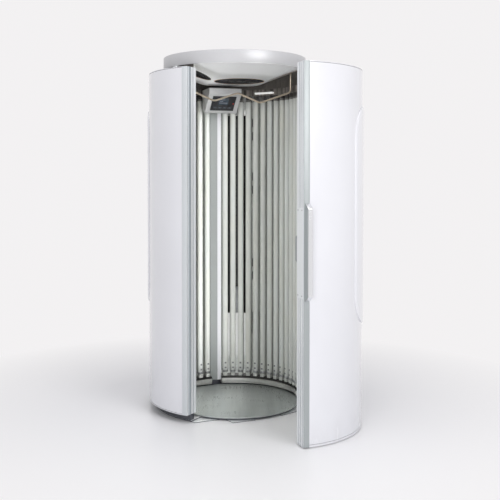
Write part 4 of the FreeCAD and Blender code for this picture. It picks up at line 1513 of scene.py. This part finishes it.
@dataclass
class LampRails:
    """The rails at one section's lamps' ends. The foot rail is drawn back above and below its lip."""
    bench: Bench
    section: Section
    lip: tuple[float, float] = (0.0115, 0.0355)
    recess: float = 0.012
    holder_drop: float = 0.026

    def build(self) -> None:
        """Build and hand over the rails."""
        node = f"{self.section.label}_lamp_rails"
        rails = self.bench.copy_of_node(node, node + "_body")
        home = self.section.placing.inverted()
        self.bench.settle(rails, home)
        foot = min(vertex.co.z for vertex in rails.data.vertices)
        top = self.section.bottom + PLAN.lamp_bottom
        low, high = foot + self.lip[0], foot + self.lip[1]
        edges = [z for z in (low, high) if z < top - self.holder_drop]
        self.bench.slices(rails, 2, edges)
        for bottom, ceiling in ((foot, low), (high, top)):
            self._draw_back(rails, bottom, min(ceiling, top))
        self.bench.soften(rails, 0.0012, 2)
        self.bench.settle(rails, self.section.placing)
        self.bench.hand_over(rails, self.section.body, Finish.RAIL, [node])

    def _draw_back(self, rails: Piece, low: float, high: float) -> None:
        """Draw a band of the foot rail's inner face back from the cabin.

        Args:
            rails: the rails.
            low: where the band starts.
            high: where it ends.
        """
        def inner(place: Vector, normal: Vector) -> bool:
            """Whether a face looks at the axis within the band."""
            return low < place.z < high and normal.xy.dot(place.xy) < -FACING * place.xy.length

        self.bench.pick(rails, inner)
        bpy.ops.mesh.extrude_region_move()
        scale = 1 + self.recess / PLAN.inner
        bpy.ops.transform.resize(value=(scale, scale, 1), center_override=(0, 0, 0))
        self.bench.leave()


@dataclass
class Rounded:
    """A node whose own form stays, with its sharp edges rounded."""
    bench: Bench
    node: str
    finish: Finish
    width: float
    segments: int = 2
    shaded_below: float = 0.0
    angle: float = 35.0
    upward: float = 0.5

    def build(self) -> None:
        """Build and hand over the piece; where asked, its upright faces near the floor get a painted shadow.
        """
        copy = self.bench.copy_of_node(self.node, self.node + "_body")
        self.bench.soften(copy, self.width, self.segments, self.angle)
        self.bench.hand_over(copy, body_of(self.node), self.finish, [self.node], slot_of(self.node))
        if self.shaded_below:
            # Upright faces near the floor take EDGE_SHADE: a painted shadow where the piece meets the floor.
            self.bench.paint(copy, Finish.EDGE_SHADE,
                             lambda c, n: c.z < self.shaded_below and n.z < self.upward)


@dataclass
class Canopy:
    """The canopy's tray: a flat keel, a rising rim and two raised facets that run into each other softly."""
    bench: Bench
    keel_radius: float = 0.330
    rim_radius: float = 0.4407
    radius: float = 0.4527
    depth: float = 0.060
    top: float = 2.2147
    blend: float = 0.030
    rings: int = 34
    sides: int = 144
    wall: float = 0.003
    cutter: float = 0.04
    near: float = 0.0005
    rim_band: float = 0.002

    def build(self) -> None:
        """Build and hand over the tray."""
        tray = self._sheet()
        self.bench.thicken(tray, self.wall)
        for fan in Fan.row(self.bench):
            tool = self.bench.drum("tool", fan.radius, -self.cutter, self.cutter, 96)
            self.bench.settle(tool, fan.placing)
            self.bench.carve(tray, tool)
        self.bench.soften(tray, 0)
        # The tray takes a lighter copy of the silver finish: painted light on its underside.
        self.bench.hand_over(tray, "cabinet", Finish.TRAY, ["canopy_tray"], "silver")

    def _rise(self, past: float, slope: float) -> float:
        """Height gained past a fold, blended about it.

        Args:
            past: distance past the fold.
            slope: rise per metre.

        Returns:
            The height.
        """
        if abs(past) < self.blend:
            return slope * (past + self.blend) ** 2 / (4 * self.blend)
        return slope * max(past, 0.0)

    def underside(self, x: float, y: float) -> float:
        """Height of the tray's underside over a point.

        Args:
            x: the point's X.
            y: the point's Y.

        Returns:
            The height above the floor.
        """
        past_keel = math.hypot(x, y) - self.keel_radius
        cone = self._rise(past_keel, self.depth / (self.rim_radius - self.keel_radius))
        facet = self._rise(PLAN.past_fold(x, y), PLAN.fold_slope)
        soft = self.blend / 3
        gap = cone - facet
        if abs(gap) < soft:
            return PLAN.keel + (cone + facet) / 2 + (gap * gap + soft * soft) / (4 * soft)
        return PLAN.keel + max(cone, facet)

    def _sheet(self) -> Piece:
        """The tray's underside as rings of faces, drawn up to its form, with its upright rim.

        Returns:
            The sheet, still without its wall.
        """
        sheet = self.bench.disc("canopy_tray_body", self.rim_radius, self.sides)
        self.bench.pick(sheet, lambda c, n: True)
        for _ in range(self.rings):
            bpy.ops.mesh.inset(thickness=self.rim_radius / (self.rings + 1), depth=0)
        bpy.ops.mesh.poke()
        self.bench.leave()
        for vertex in sheet.data.vertices:
            vertex.co.z = self.underside(vertex.co.x, vertex.co.y)
        self.bench.pick(sheet, self._on_rim, "EDGE")
        bpy.ops.mesh.extrude_edges_move()
        scale = self.radius / self.rim_radius
        bpy.ops.transform.resize(value=(scale, scale, 1), center_override=(0, 0, 0))
        bpy.ops.mesh.extrude_edges_move()
        self.bench.leave()
        outer = [v for v in sheet.data.vertices if v.co.xy.length > self.radius - self.near]
        for vertex in outer[len(outer) // 2:]:
            vertex.co.z = self.top
        return sheet

    def _on_rim(self, middle: Vector, run: Vector) -> bool:
        """Whether an edge lies along the tray's rim."""
        across = run.normalized().dot(middle.xy.to_3d().normalized())
        return middle.xy.length > self.rim_radius - self.rim_band and abs(across) < 0.1


@dataclass
class Fan:
    """One canopy fan: wire guard, coloured rim and turning rotor.

    A blade's width and pitch are given at its root, each with how much it grows or falls by at the tip.
    """
    bench: Bench
    name: str
    along: float
    tilt: float
    radius: float
    wire: float = 0.0010
    wire_pitch: float = 0.0095
    guard_gap: float = 0.0015
    guard_eye: float = 0.6
    boss_share: float = 0.62
    boss_height: float = 0.003
    spokes: int = 8
    hub: float = 0.032
    hub_height: float = 0.018
    lift: float = 0.008
    blades: int = 7
    tip_gap: float = 0.010
    blade_wall: float = 0.0014
    blade_width: tuple[float, float] = (0.026, 0.020)
    blade_pitch: tuple[float, float] = (34.0, 16.0)
    camber: float = 0.0022
    sweep: float = 0.008
    rim: float = 0.0022
    flatness: float = 0.55

    @staticmethod
    def row(bench: Bench) -> list["Fan"]:
        """The three fans along the row.

        Args:
            bench: the modelling moves.

        Returns:
            The left, the main and the right fan.
        """
        rows = (("left_fan", -1, 0.115), ("main_fan", 0, 0.160), ("right_fan", 1, 0.115))
        return [Fan(bench, name, PLAN.fan_offset + side * PLAN.fan_spacing, side * PLAN.fold_tilt, radius)
                for name, side, radius in rows]

    @property
    def placing(self) -> Matrix:
        """Where the fan stands: its own Z runs up its axis."""
        rise = (PLAN.fan_spacing - PLAN.fold) * PLAN.fold_slope if self.tilt else 0.0
        foot = Matrix.Translation((self.along, 0, PLAN.keel + rise))
        return turned(PLAN.fan_row) @ foot @ turned(-self.tilt, "Y")

    def guard(self) -> Piece:
        """The wire guard in the fan's opening: hoops, spokes and a boss.

        Returns:
            The guard.
        """
        outer, inner = self.radius - self.guard_gap, self.hub * self.guard_eye
        count = round((outer - inner) / self.wire_pitch)
        pitch = (outer - inner) / count
        hoops = [self.bench.hoop("wire", outer - pitch * i, self.wire, self.wire) for i in range(count)]
        spoke = self.bench.drum("spoke", self.wire, 0, outer, 6)
        self.bench.settle(spoke, Matrix.Translation((0, 0, 2.6 * self.wire)) @ turned(90, "Y"))
        spokes = self.bench.repeat("spokes", spoke, around(self.spokes))
        boss = self.bench.drum("boss", self.hub * self.boss_share, 0.0, self.boss_height, 40)
        self.bench.inset(boss, facing_down, [(0.004, 0.0), (0.001, -0.0006)])
        self.bench.soften(boss, 0.0006, 2)
        guard = self.bench.join(f"{self.name}_guard", [*hoops, spokes, boss])
        return self.bench.settle(guard, self.placing)

    def ring(self) -> Piece:
        """The thin coloured rim around the opening.

        Returns:
            The rim.
        """
        ring = self.bench.hoop(f"{self.name}_ring", self.radius + self.rim * 0.3, self.rim, -0.0003, 96, 10)
        self.bench.settle(ring, Matrix.Diagonal((1, 1, self.flatness, 1)))
        self.bench.soften(ring, 0)
        return self.bench.settle(ring, self.placing)

    def _blade(self, middle: float, steps: int = 8) -> Piece:
        """One twisted, cambered blade.

        Args:
            middle: height of the hub's middle.
            steps: faces along the blade.

        Returns:
            The blade, running along X.
        """
        root, tip = self.hub * 0.8, self.radius - self.tip_gap
        half = self.blade_wall / 2
        blade = self.bench.block("blade", (root, -0.5, -half), (tip, 0.5, half))
        self.bench.slices(blade, 0, [root + (tip - root) * i / steps for i in range(1, steps)])
        self.bench.slices(blade, 1, [-0.3, -0.1, 0.1, 0.3])
        for vertex in blade.data.vertices:
            share = (vertex.co.x - root) / (tip - root)
            across = vertex.co.y * (self.blade_width[0] + self.blade_width[1] * share)
            pitch = math.radians(self.blade_pitch[0] - self.blade_pitch[1] * share)
            flat = vertex.co.z + self.camber * (1 - (2 * vertex.co.y) ** 2)
            vertex.co.y = across * math.cos(pitch) - flat * math.sin(pitch) + self.sweep * share * share
            vertex.co.z = middle + across * math.sin(pitch) + flat * math.cos(pitch)
        self.bench.soften(blade, 0.0004, 1)
        return blade

    def rotor(self) -> Piece:
        """Hub, shaft and twisted blades.

        Returns:
            The rotor.
        """
        top = self.lift + self.hub_height
        blade = self._blade(self.lift + self.hub_height / 2)
        fan = self.bench.repeat("blades", blade, around(self.blades))
        hub = self.bench.drum("hub", self.hub, self.lift, top, 48)
        self.bench.inset(hub, facing_down, [(0.010, 0.0), (0.003, -0.0012)])
        self.bench.soften(hub, 0.0025, 3)
        shaft = self.bench.drum("shaft", 0.004, top - 0.001, top + 0.015, 20)
        self.bench.soften(shaft, 0.0004, 1)
        rotor = self.bench.join(f"{self.name}_rotor_body", [fan, hub, shaft])
        return self.bench.settle(rotor, self.placing)


@dataclass
class FanRow:
    """The three canopy fans, and around them a dark gauze that stands in for the shade behind the intake."""
    bench: Bench
    gauze_radius: float = 0.4348
    gauze_bottom: float = 2.0716
    gauze_gap: float = 0.002
    gauze_wall: float = 0.0006
    gauze_margin: float = 5.0

    def build(self) -> None:
        """Build and hand over guards, rims, gauze and rotors."""
        fans = Fan.row(self.bench)
        guards = self.bench.join("fan_guards", [fan.guard() for fan in fans])
        self.bench.hand_over(guards, "cabinet", Finish.BLACK_METAL, ["fan_grilles"])
        rings = self.bench.join("fan_rings", [fan.ring() for fan in fans])
        self.bench.hand_over(rings, "cabinet", Finish.COPPER, ["fan_rims"])
        self._gauze()
        for fan in fans:
            self.bench.hand_over(fan.rotor(), fan.name, Finish.BLACK_PLASTIC, [f"{fan.name}_rotor"])

    def _gauze(self) -> None:
        """The dark gauze behind the slatted intake ring, standing in for the shade there; its upper edge is
        just under the tray.
        """
        ring = self.bench.drum("intake_shade_gauze", self.gauze_radius, self.gauze_bottom, PLAN.keel, 180)
        self.bench.drop(ring, lambda c, n: abs(n.z) > 0.5 or not self._behind_slats(c))
        tray = Canopy(self.bench)
        for vertex in ring.data.vertices:
            if vertex.co.z > PLAN.keel - 0.001:
                vertex.co.z = tray.underside(vertex.co.x, vertex.co.y) - self.gauze_gap
        self.bench.thicken(ring, self.gauze_wall, 0.0)
        self.bench.soften(ring, 0)
        self.bench.hand_over(ring, "cabinet", Finish.INTAKE, (), "black_metal")

    def _behind_slats(self, place: Vector) -> bool:
        """Whether a place lies in the fixed sections' span."""
        angle = math.degrees(math.atan2(place.y, place.x)) % 360.0
        return PLAN.hinge_angle + self.gauze_margin < angle < PLAN.front - self.gauze_margin


@dataclass
class ControlPanel:
    """The face of the control panel: display, keys with plain marks, and a pilot lamp.

    Its places are in the display's own frame: X across, Y up its face, Z out of it.
    """
    bench: Bench
    face_place: tuple[float, float] = (0.256, 1.966)
    tilt: float = 45.0
    bezel: float = 0.003
    window: tuple[float, float, float, float] = (-0.035, -0.010, 0.033, 0.046)
    bars: tuple[tuple[float, float], ...] = ((0.08, 0.62), (0.08, 0.44), (0.08, 0.90))
    bar_top: float = 0.012
    bar_pitch: float = 0.014
    bar_half: float = 0.003
    key_size: tuple[float, float] = (0.026, 0.016)
    key_pitch: float = 0.034
    key_row: float = -0.034
    key_raise: float = 0.002
    key_root: float = 0.003
    mark_height: float = 0.0004
    mark_sink: float = 0.0005
    bar_mark: tuple[float, float] = (0.0008, 0.0035)
    round_mark: float = 0.0036
    arrow_mark: float = 0.0042
    pilot_place: tuple[float, float] = (0.0695, 0.001)
    pilot_radius: float = 0.0024

    @property
    def placing(self) -> Matrix:
        """Where the display's frame stands."""
        radius, height = self.face_place
        place = Matrix.Translation(polar(radius, PLAN.junction, height)) @ turned(PLAN.junction)
        return place @ turned(-(90 + self.tilt), "Y") @ turned(-90)

    def build(self) -> None:
        """Build and hand over the face's pieces."""
        self._window()
        self._pilot()
        for index, name in enumerate(("start", "stop", "up", "down")):
            self._key(index, name)

    def _window(self) -> None:
        """The display window in its thin frame, with plain bars that it shows."""
        x0, y0, x1, y1 = self.window
        pane = self.bench.block("display_window", (x0, y0, self.bezel), (x1, y1, self.bezel + 0.0006))
        self.bench.inset(pane, facing_up, [(0.0015, 0.0), (0.0004, -0.0003)])
        self.bench.soften(pane, 0.0002, 1)
        self.bench.settle(pane, self.placing)
        self.bench.hand_over(pane, "cabinet", Finish.SCREEN, ["control_screen"])
        bars = []
        for row, (start, end) in enumerate(self.bars):
            y = y1 - self.bar_top - row * self.bar_pitch
            low = (x0 + start * (x1 - x0), y - self.bar_half, self.bezel + 0.0002)
            high = (x0 + end * (x1 - x0), y + self.bar_half, self.bezel + 0.0005)
            bars.append(self.bench.block("bar", low, high))
            self.bench.soften(bars[-1], 0.0001, 1)
        picture = self.bench.join("display_picture", bars)
        self.bench.settle(picture, self.placing)
        self.bench.hand_over(picture, "cabinet", Finish.DISPLAY_MARK, (), "screen")

    def _pilot(self) -> None:
        """The small red pilot lamp in its collar."""
        pilot = self.bench.drum("pilot_lamp", self.pilot_radius, self.bezel - 0.001, self.bezel + 0.0012, 24,
                                self.pilot_place)
        self.bench.inset(pilot, facing_up, [(0.0006, 0.0004), (0.0006, 0.0002)])
        self.bench.soften(pilot, 0.0002, 1)
        self.bench.settle(pilot, self.placing)
        self.bench.hand_over(pilot, "cabinet", Finish.PILOT, (), "screen")

    def _key(self, index: int, name: str) -> None:
        """One key with a dished top and a plain raised mark.

        Args:
            index: its place in the row.
            name: its function.
        """
        width, height = self.key_size
        x = (index - 1.5) * self.key_pitch
        top = self.bezel + self.key_raise
        key = self.bench.block(f"{name}_key_cap", (x - width / 2, self.key_row - height / 2, -self.key_root),
                               (x + width / 2, self.key_row + height / 2, top))
        self.bench.inset(key, facing_up, [(0.002, 0.0), (0.002, -0.0004)])
        self.bench.soften(key, 0.0007, 2)
        self.bench.settle(key, self.placing)
        self.bench.hand_over(key, f"{name}_button", Finish.KEY, [f"{name}_key"])
        mark = self._mark(name, x, top - self.mark_sink)
        self.bench.settle(mark, self.placing)
        self.bench.hand_over(mark, f"{name}_button", Finish.DISPLAY_MARK, (), "key")

    def _mark(self, name: str, x: float, z: float) -> Piece:
        """The plain mark on a key: a bar, a ring, or a triangle up or down.

        Args:
            name: the key's function.
            x: the key's middle across the face.
            z: the mark's underside.

        Returns:
            The mark.
        """
        y, top = self.key_row, z + self.mark_height
        if name == "start":
            across, up = self.bar_mark
            mark = self.bench.block("mark", (x - across, y - up, z), (x + across, y + up, top))
        elif name == "stop":
            mark = self.bench.drum("mark", self.round_mark, z, top, 28, (x, y))
            self.bench.inset(mark, facing_up, [(0.0012, 0.0), (0.0001, -0.0003)])
        else:
            mark = self.bench.drum("mark", self.arrow_mark, z, top, 3)
            if name == "down":
                self.bench.settle(mark, turned(180))
            self.bench.settle(mark, Matrix.Translation((x, y, 0)))
        mark.name = mark.data.name = f"{name}_key_mark"
        self.bench.soften(mark, 0.0001, 1)
        return mark


@dataclass
class GripRail:
    """The zigzag rail of round tube with softly bent corners, hung on a post at each end.

    Its corners are given in one upright plane: how far along it, and how high.
    """
    bench: Bench
    plane: float = 0.120
    turn: float = 30.5
    points: tuple[tuple[float, float], ...] = ((-0.308, 2.052), (-0.135, 1.971), (0.023, 2.024),
                                               (0.168, 1.958), (0.368, 2.028))
    radius: float = 0.006
    bend: float = 0.020
    steps: int = 6
    flange_radius: float = 0.014
    flange_wall: float = 0.0028
    flange_drop: float = 0.004
    overlap: float = 0.001

    def build(self) -> None:
        """Build and hand over the rail with its two flanges."""
        turn = turned(self.turn)
        route = [turn @ Vector((x, self.plane, z)) for x, z in self.points]
        tops = [Vector((p.x, p.y, self._tray(p) + self.overlap)) for p in (route[0], route[-1])]
        rail = self._tube(self._rounded([tops[0], *route, tops[1]]))
        flanges = []
        for top in tops:
            foot = top.z - self.flange_drop
            flange = self.bench.drum("flange", self.flange_radius, foot, foot + self.flange_wall, 32,
                                     (top.x, top.y))
            self.bench.soften(flange, 0.0008, 2)
            flanges.append(flange)
        rail = self.bench.join("zigzag_rail", [rail, *flanges])
        self.bench.soften(rail, 0)
        self.bench.hand_over(rail, "cabinet", Finish.CHAMPAGNE, ["grip_rail"])

    def _rounded(self, route: Sequence[Vector]) -> list[Vector]:
        """A route with its corners rounded.

        Args:
            route: the route's corners and ends.

        Returns:
            The points of the rounded route.
        """
        path = [route[0]]
        for before, corner, after in zip(route, route[1:], route[2:]):
            back, on = (before - corner).normalized(), (after - corner).normalized()
            first, last = corner + back * self.bend, corner + on * self.bend
            for i in range(self.steps + 1):
                share = i / self.steps
                path.append((1 - share) ** 2 * first + 2 * share * (1 - share) * corner + share ** 2 * last)
        return [*path, route[-1]]

    def _tube(self, path: Sequence[Vector]) -> Piece:
        """The tube along a path.

        Args:
            path: the points of its middle line.

        Returns:
            The tube.
        """
        data = bpy.data.curves.new("rail", "CURVE")
        data.dimensions = "3D"
        data.bevel_depth = self.radius
        data.bevel_resolution = 5
        data.use_fill_caps = True
        spline = data.splines.new("POLY")
        spline.points.add(len(path) - 1)
        for point, place in zip(spline.points, path):
            point.co = (*place, 1.0)
        rail = bpy.data.objects.new("rail", data)
        bpy.context.scene.collection.objects.link(rail)
        self.bench.take(rail)
        bpy.ops.object.convert(target="MESH")
        return bpy.context.object

    def _tray(self, place: Vector) -> float:
        """Height of the tray's flat and facets over a point, with no blend between them."""
        return PLAN.keel + max(PLAN.past_fold(place.x, place.y), 0.0) * PLAN.fold_slope


@dataclass
class LatchCover:
    """The flat lock cover with its four dark screws, whose heads get their sockets."""
    bench: Bench
    heads: float = -0.0035
    rim: float = 0.0012
    depth: float = 0.0010
    plate: float = -0.0021

    def build(self) -> None:
        """Build and hand over the cover."""
        cover = self.bench.copy_of_node("latch_cover", "latch_cover_body")
        place = PLAN.door_end()
        self.bench.settle(cover, place.inverted())
        self.bench.inset(cover, lambda c, n: n.y < -FACING and c.y < self.heads,
                         [(self.rim, 0.0), (0.0002, -self.depth)])
        self.bench.soften(cover, 0.0003, 1, 50)
        self.bench.settle(cover, place)
        self.bench.hand_over(cover, "door", Finish.ANODISED, ["latch_cover"])
        self.bench.paint(cover, Finish.PULL, lambda c, n: c.y < self.plate, place)


@dataclass
class Handle:
    """The door's bow handle, bright outside and dark along its two sides."""
    bench: Bench
    width: float = 0.002
    segments: int = 3
    sideways: float = 0.8

    def build(self) -> None:
        """Build and hand over the handle."""
        bow = self.bench.copy_of_node("door_handle", "door_handle_body")
        self.bench.soften(bow, self.width, self.segments)
        self.bench.hand_over(bow, "door", Finish.POLISHED, ["door_handle"])
        self.bench.paint(bow, Finish.PULL, lambda c, n: abs(n.y) > self.sideways, PLAN.door_end())


class Assembly(Protocol):
    """Anything that builds its own pieces."""

    def build(self) -> None:
        """Build the pieces and hand them over."""


@dataclass
class Booth:
    """The whole booth, sub-assembly by sub-assembly."""
    bench: Bench

    def parts(self) -> list[Assembly]:
        """Every sub-assembly.

        Returns:
            The sub-assemblies in the order that they are built in.
        """
        bench = self.bench
        fixed, door = Matrix.Identity(4), PLAN.swing()
        gap = PLAN.end_gap
        fixed_span = (PLAN.fixed_bottom, PLAN.fixed_bottom + PLAN.panel_height)
        door_span = (PLAN.door_foot, PLAN.door_bottom + PLAN.panel_height)
        profiles = [("back_hinge_profile", "cabinet", PLAN.hinge_angle + gap, 1, *fixed_span, fixed),
                    ("left_end_profile", "cabinet", PLAN.front - gap, -1, *fixed_span, fixed),
                    ("door_latch_profile", "door", PLAN.front + gap, 1, *door_span, door),
                    ("door_hinge_profile", "door", PLAN.hinge_angle - gap, -1, *door_span, door)]
        rounded = [("inner_pull", Finish.PULL, 0.001, 2),
                   ("control_housing", Finish.GREY_PLASTIC, 0.006, 4),
                   ("control_bezel", Finish.BLACK_PLASTIC, 0.0008, 2), ("deck_plate", Finish.DECK, 0.0012, 2),
                   # base_frame takes a lighter copy of galvanised as painted light, and its upright faces
                   # below 12 mm a painted shadow.
                   ("base_frame", Finish.ZINC, 0.001, 2, 0.012), ("canopy_band", Finish.SILVER, 0.001, 2),
                   ("canopy_lid", Finish.SILVER, 0.001, 2), ("canopy_posts", Finish.GALVANISED, 0.0015, 2),
                   ("fixed_hinge_leaves", Finish.STEEL, 0.0008, 2),
                   ("door_hinge_leaves", Finish.STEEL, 0.0008, 2),
                   ("hinge_pins", Finish.STEEL, 0.0008, 2), ("mains_inlet", Finish.BLACK_PLASTIC, 0.001, 2),
                   # plinth_ring is painted dark all over as the shade under the wings.
                   ("light_bar", Finish.LIGHT_COVER, 0.003, 3), ("plinth_ring", Finish.EDGE_SHADE, 0.001, 2),
                   ("floor_pads", Finish.RUBBER, 0.002, 2)]
        return [*(LampBank(bench, section) for section in Section),
                *(WallPanel(bench, section) for section in Section),
                *(EndProfile(bench, *row) for row in profiles),
                *(LampRails(bench, section) for section in Section),
                Canopy(bench), FanRow(bench), ControlPanel(bench), GripRail(bench), LatchCover(bench),
                Handle(bench),
                *(Rounded(bench, *row) for row in rounded)]

    def build(self) -> None:
        """Build every sub-assembly."""
        for part in self.parts():
            log.info("building %s", type(part).__name__)
            part.build()
        log.info("%d pieces handed over", self.bench.count)


# ---- stage --------------------------------------------------------------------------------------
@dataclass(frozen=True)
class SoftPanel:
    """One soft studio lamp: its place, width and height, power, aim, spread, and whether it is seen."""
    name: str
    place: tuple[float, float, float]
    size: tuple[float, float]
    power: float
    aim: tuple[float, float, float] = (0.0, 0.0, 1.1)
    spread: float = 180.0
    seen: bool = True


@dataclass
class Stage:
    """The studio's floor, lamps, world and camera."""
    floor_size: float = 60.0
    floor_colour: Colour = (0.95, 0.94, 0.95)
    floor_roughness: float = 0.30
    floor_gloss: float = 0.4
    floor_fade: tuple[float, float] = (0.9, 2.4)
    background: Colour = (0.895, 0.881, 0.888)
    world_colour: Colour = (0.93, 0.95, 1.0)
    world_power: float = 0.43
    camera_place: tuple[float, float, float] = (2.7224, -4.6216, 1.4625)
    camera_turn: float = 30.5
    camera_pitch: float = 1.3535
    focal_pixels: float = 829.2
    centre_pixel: tuple[float, float] = (234.58, 197.70)
    frame_pixels: float = 500.0
    sensor: float = 36.0
    panels: tuple[SoftPanel, ...] = (
        SoftPanel("key", (5.0, -2.2, 3.3), (2.6, 2.6), 99.0),
        SoftPanel("front", (1.6, -4.6, 2.0), (1.8, 1.8), 46.0, seen=False),
        SoftPanel("top", (0.4, -0.8, 5.2), (3.0, 3.0), 66.0),
        SoftPanel("cabin", (1.9, -3.4, 1.1), (1.0, 2.0), 4.0, seen=False),
        SoftPanel("inner", (0.37, -0.10, 1.05), (0.20, 1.8), 4.0, (-0.42, 0.06, 1.05), 72.0, False),
        SoftPanel("deck", (-0.15, -0.25, 1.5), (0.3, 0.3), 1.0, (-0.36, -0.15, 0.0), 50.0, False),
        SoftPanel("under", (0.20, -0.15, 1.6), (0.3, 0.3), 1.3, (-0.50, -0.25, 2.1), 50.0, False))

    def build(self) -> None:
        """Make the whole stage."""
        self._world()
        self._floor()
        self._lights()
        self._camera()

    def _world(self) -> None:
        """A plain world: the background colour for the eye and for reflections, softer light elsewhere."""
        world = bpy.data.worlds.new("studio")
        bpy.context.scene.world = world
        g = Graph("studio", world)
        camera, glossy, clear = (g.node("LightPath", output=f"Is {ray} Ray")
                                 for ray in ("Camera", "Glossy", "Transmission"))
        soft = g.node("Background", {"Color": (*self.world_colour, 1.0), "Strength": self.world_power})
        shown = g.node("Background", {"Color": (*self.background, 1.0), "Strength": 1.0})
        both = g.node("MixShader", {0: camera.at_least(glossy).at_least(clear), 1: soft, 2: shown})
        g.node("OutputWorld", {"Surface": both})

    def _floor(self) -> None:
        """A wide pale floor that is a little glossy near the booth and fades into the background."""
        bpy.ops.object.select_all(action="DESELECT")
        bpy.ops.mesh.primitive_plane_add(size=self.floor_size, location=(0, 0, 0))
        floor = bpy.context.object
        floor.name = "studio_floor"
        g = Graph("studio_floor")
        near = g.node("BsdfPrincipled", {"Base Color": (*self.floor_colour, 1.0),
                                         "Roughness": self.floor_roughness,
                                         "Specular IOR Level": self.floor_gloss})
        far = g.node("Emission", {"Color": (*self.background, 1.0), "Strength": 1.0})
        both = g.node("MixShader", {0: g.reach(g.here()).ramp(*self.floor_fade), 1: near, 2: far})
        g.node("OutputMaterial", {"Surface": both})
        floor.data.materials.append(g.owner)

    def _lights(self) -> None:
        """The soft lamps, each aimed at its spot. The unseen ones show neither to the eye nor in gloss."""
        for panel in self.panels:
            data = bpy.data.lights.new(panel.name, "AREA")
            data.shape = "RECTANGLE"
            data.size, data.size_y = panel.size
            data.energy = panel.power
            data.spread = math.radians(panel.spread)
            lamp = bpy.data.objects.new(panel.name, data)
            bpy.context.scene.collection.objects.link(lamp)
            lamp.location = panel.place
            aim = Vector(panel.aim) - Vector(panel.place)
            lamp.rotation_euler = aim.to_track_quat("-Z", "Y").to_euler()
            lamp.visible_camera = lamp.visible_glossy = panel.seen

    def _camera(self) -> None:
        """The camera, with the shift that its frame needs."""
        data = bpy.data.cameras.new("view")
        data.sensor_width = self.sensor
        data.lens = self.focal_pixels * self.sensor / self.frame_pixels
        half = self.frame_pixels / 2
        data.shift_x = (half - self.centre_pixel[0]) / self.frame_pixels
        data.shift_y = (self.centre_pixel[1] - half) / self.frame_pixels
        data.clip_end = 200.0
        camera = bpy.data.objects.new("view", data)
        bpy.context.scene.collection.objects.link(camera)
        camera.location = self.camera_place
        camera.rotation_euler = (math.radians(90 - self.camera_pitch), 0, math.radians(self.camera_turn))
        bpy.context.scene.camera = camera


def main() -> None:
    """Build the looks in order."""
    logging.basicConfig(level=logging.INFO, format="%(message)s")
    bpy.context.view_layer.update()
    bpy.context.scene.view_settings.view_transform = "Standard"
    finishes = Finishes()
    CadNodes(finishes).build()
    Booth(Bench(finishes)).build()
    Stage().build()


if __name__ == "__main__":
    main()
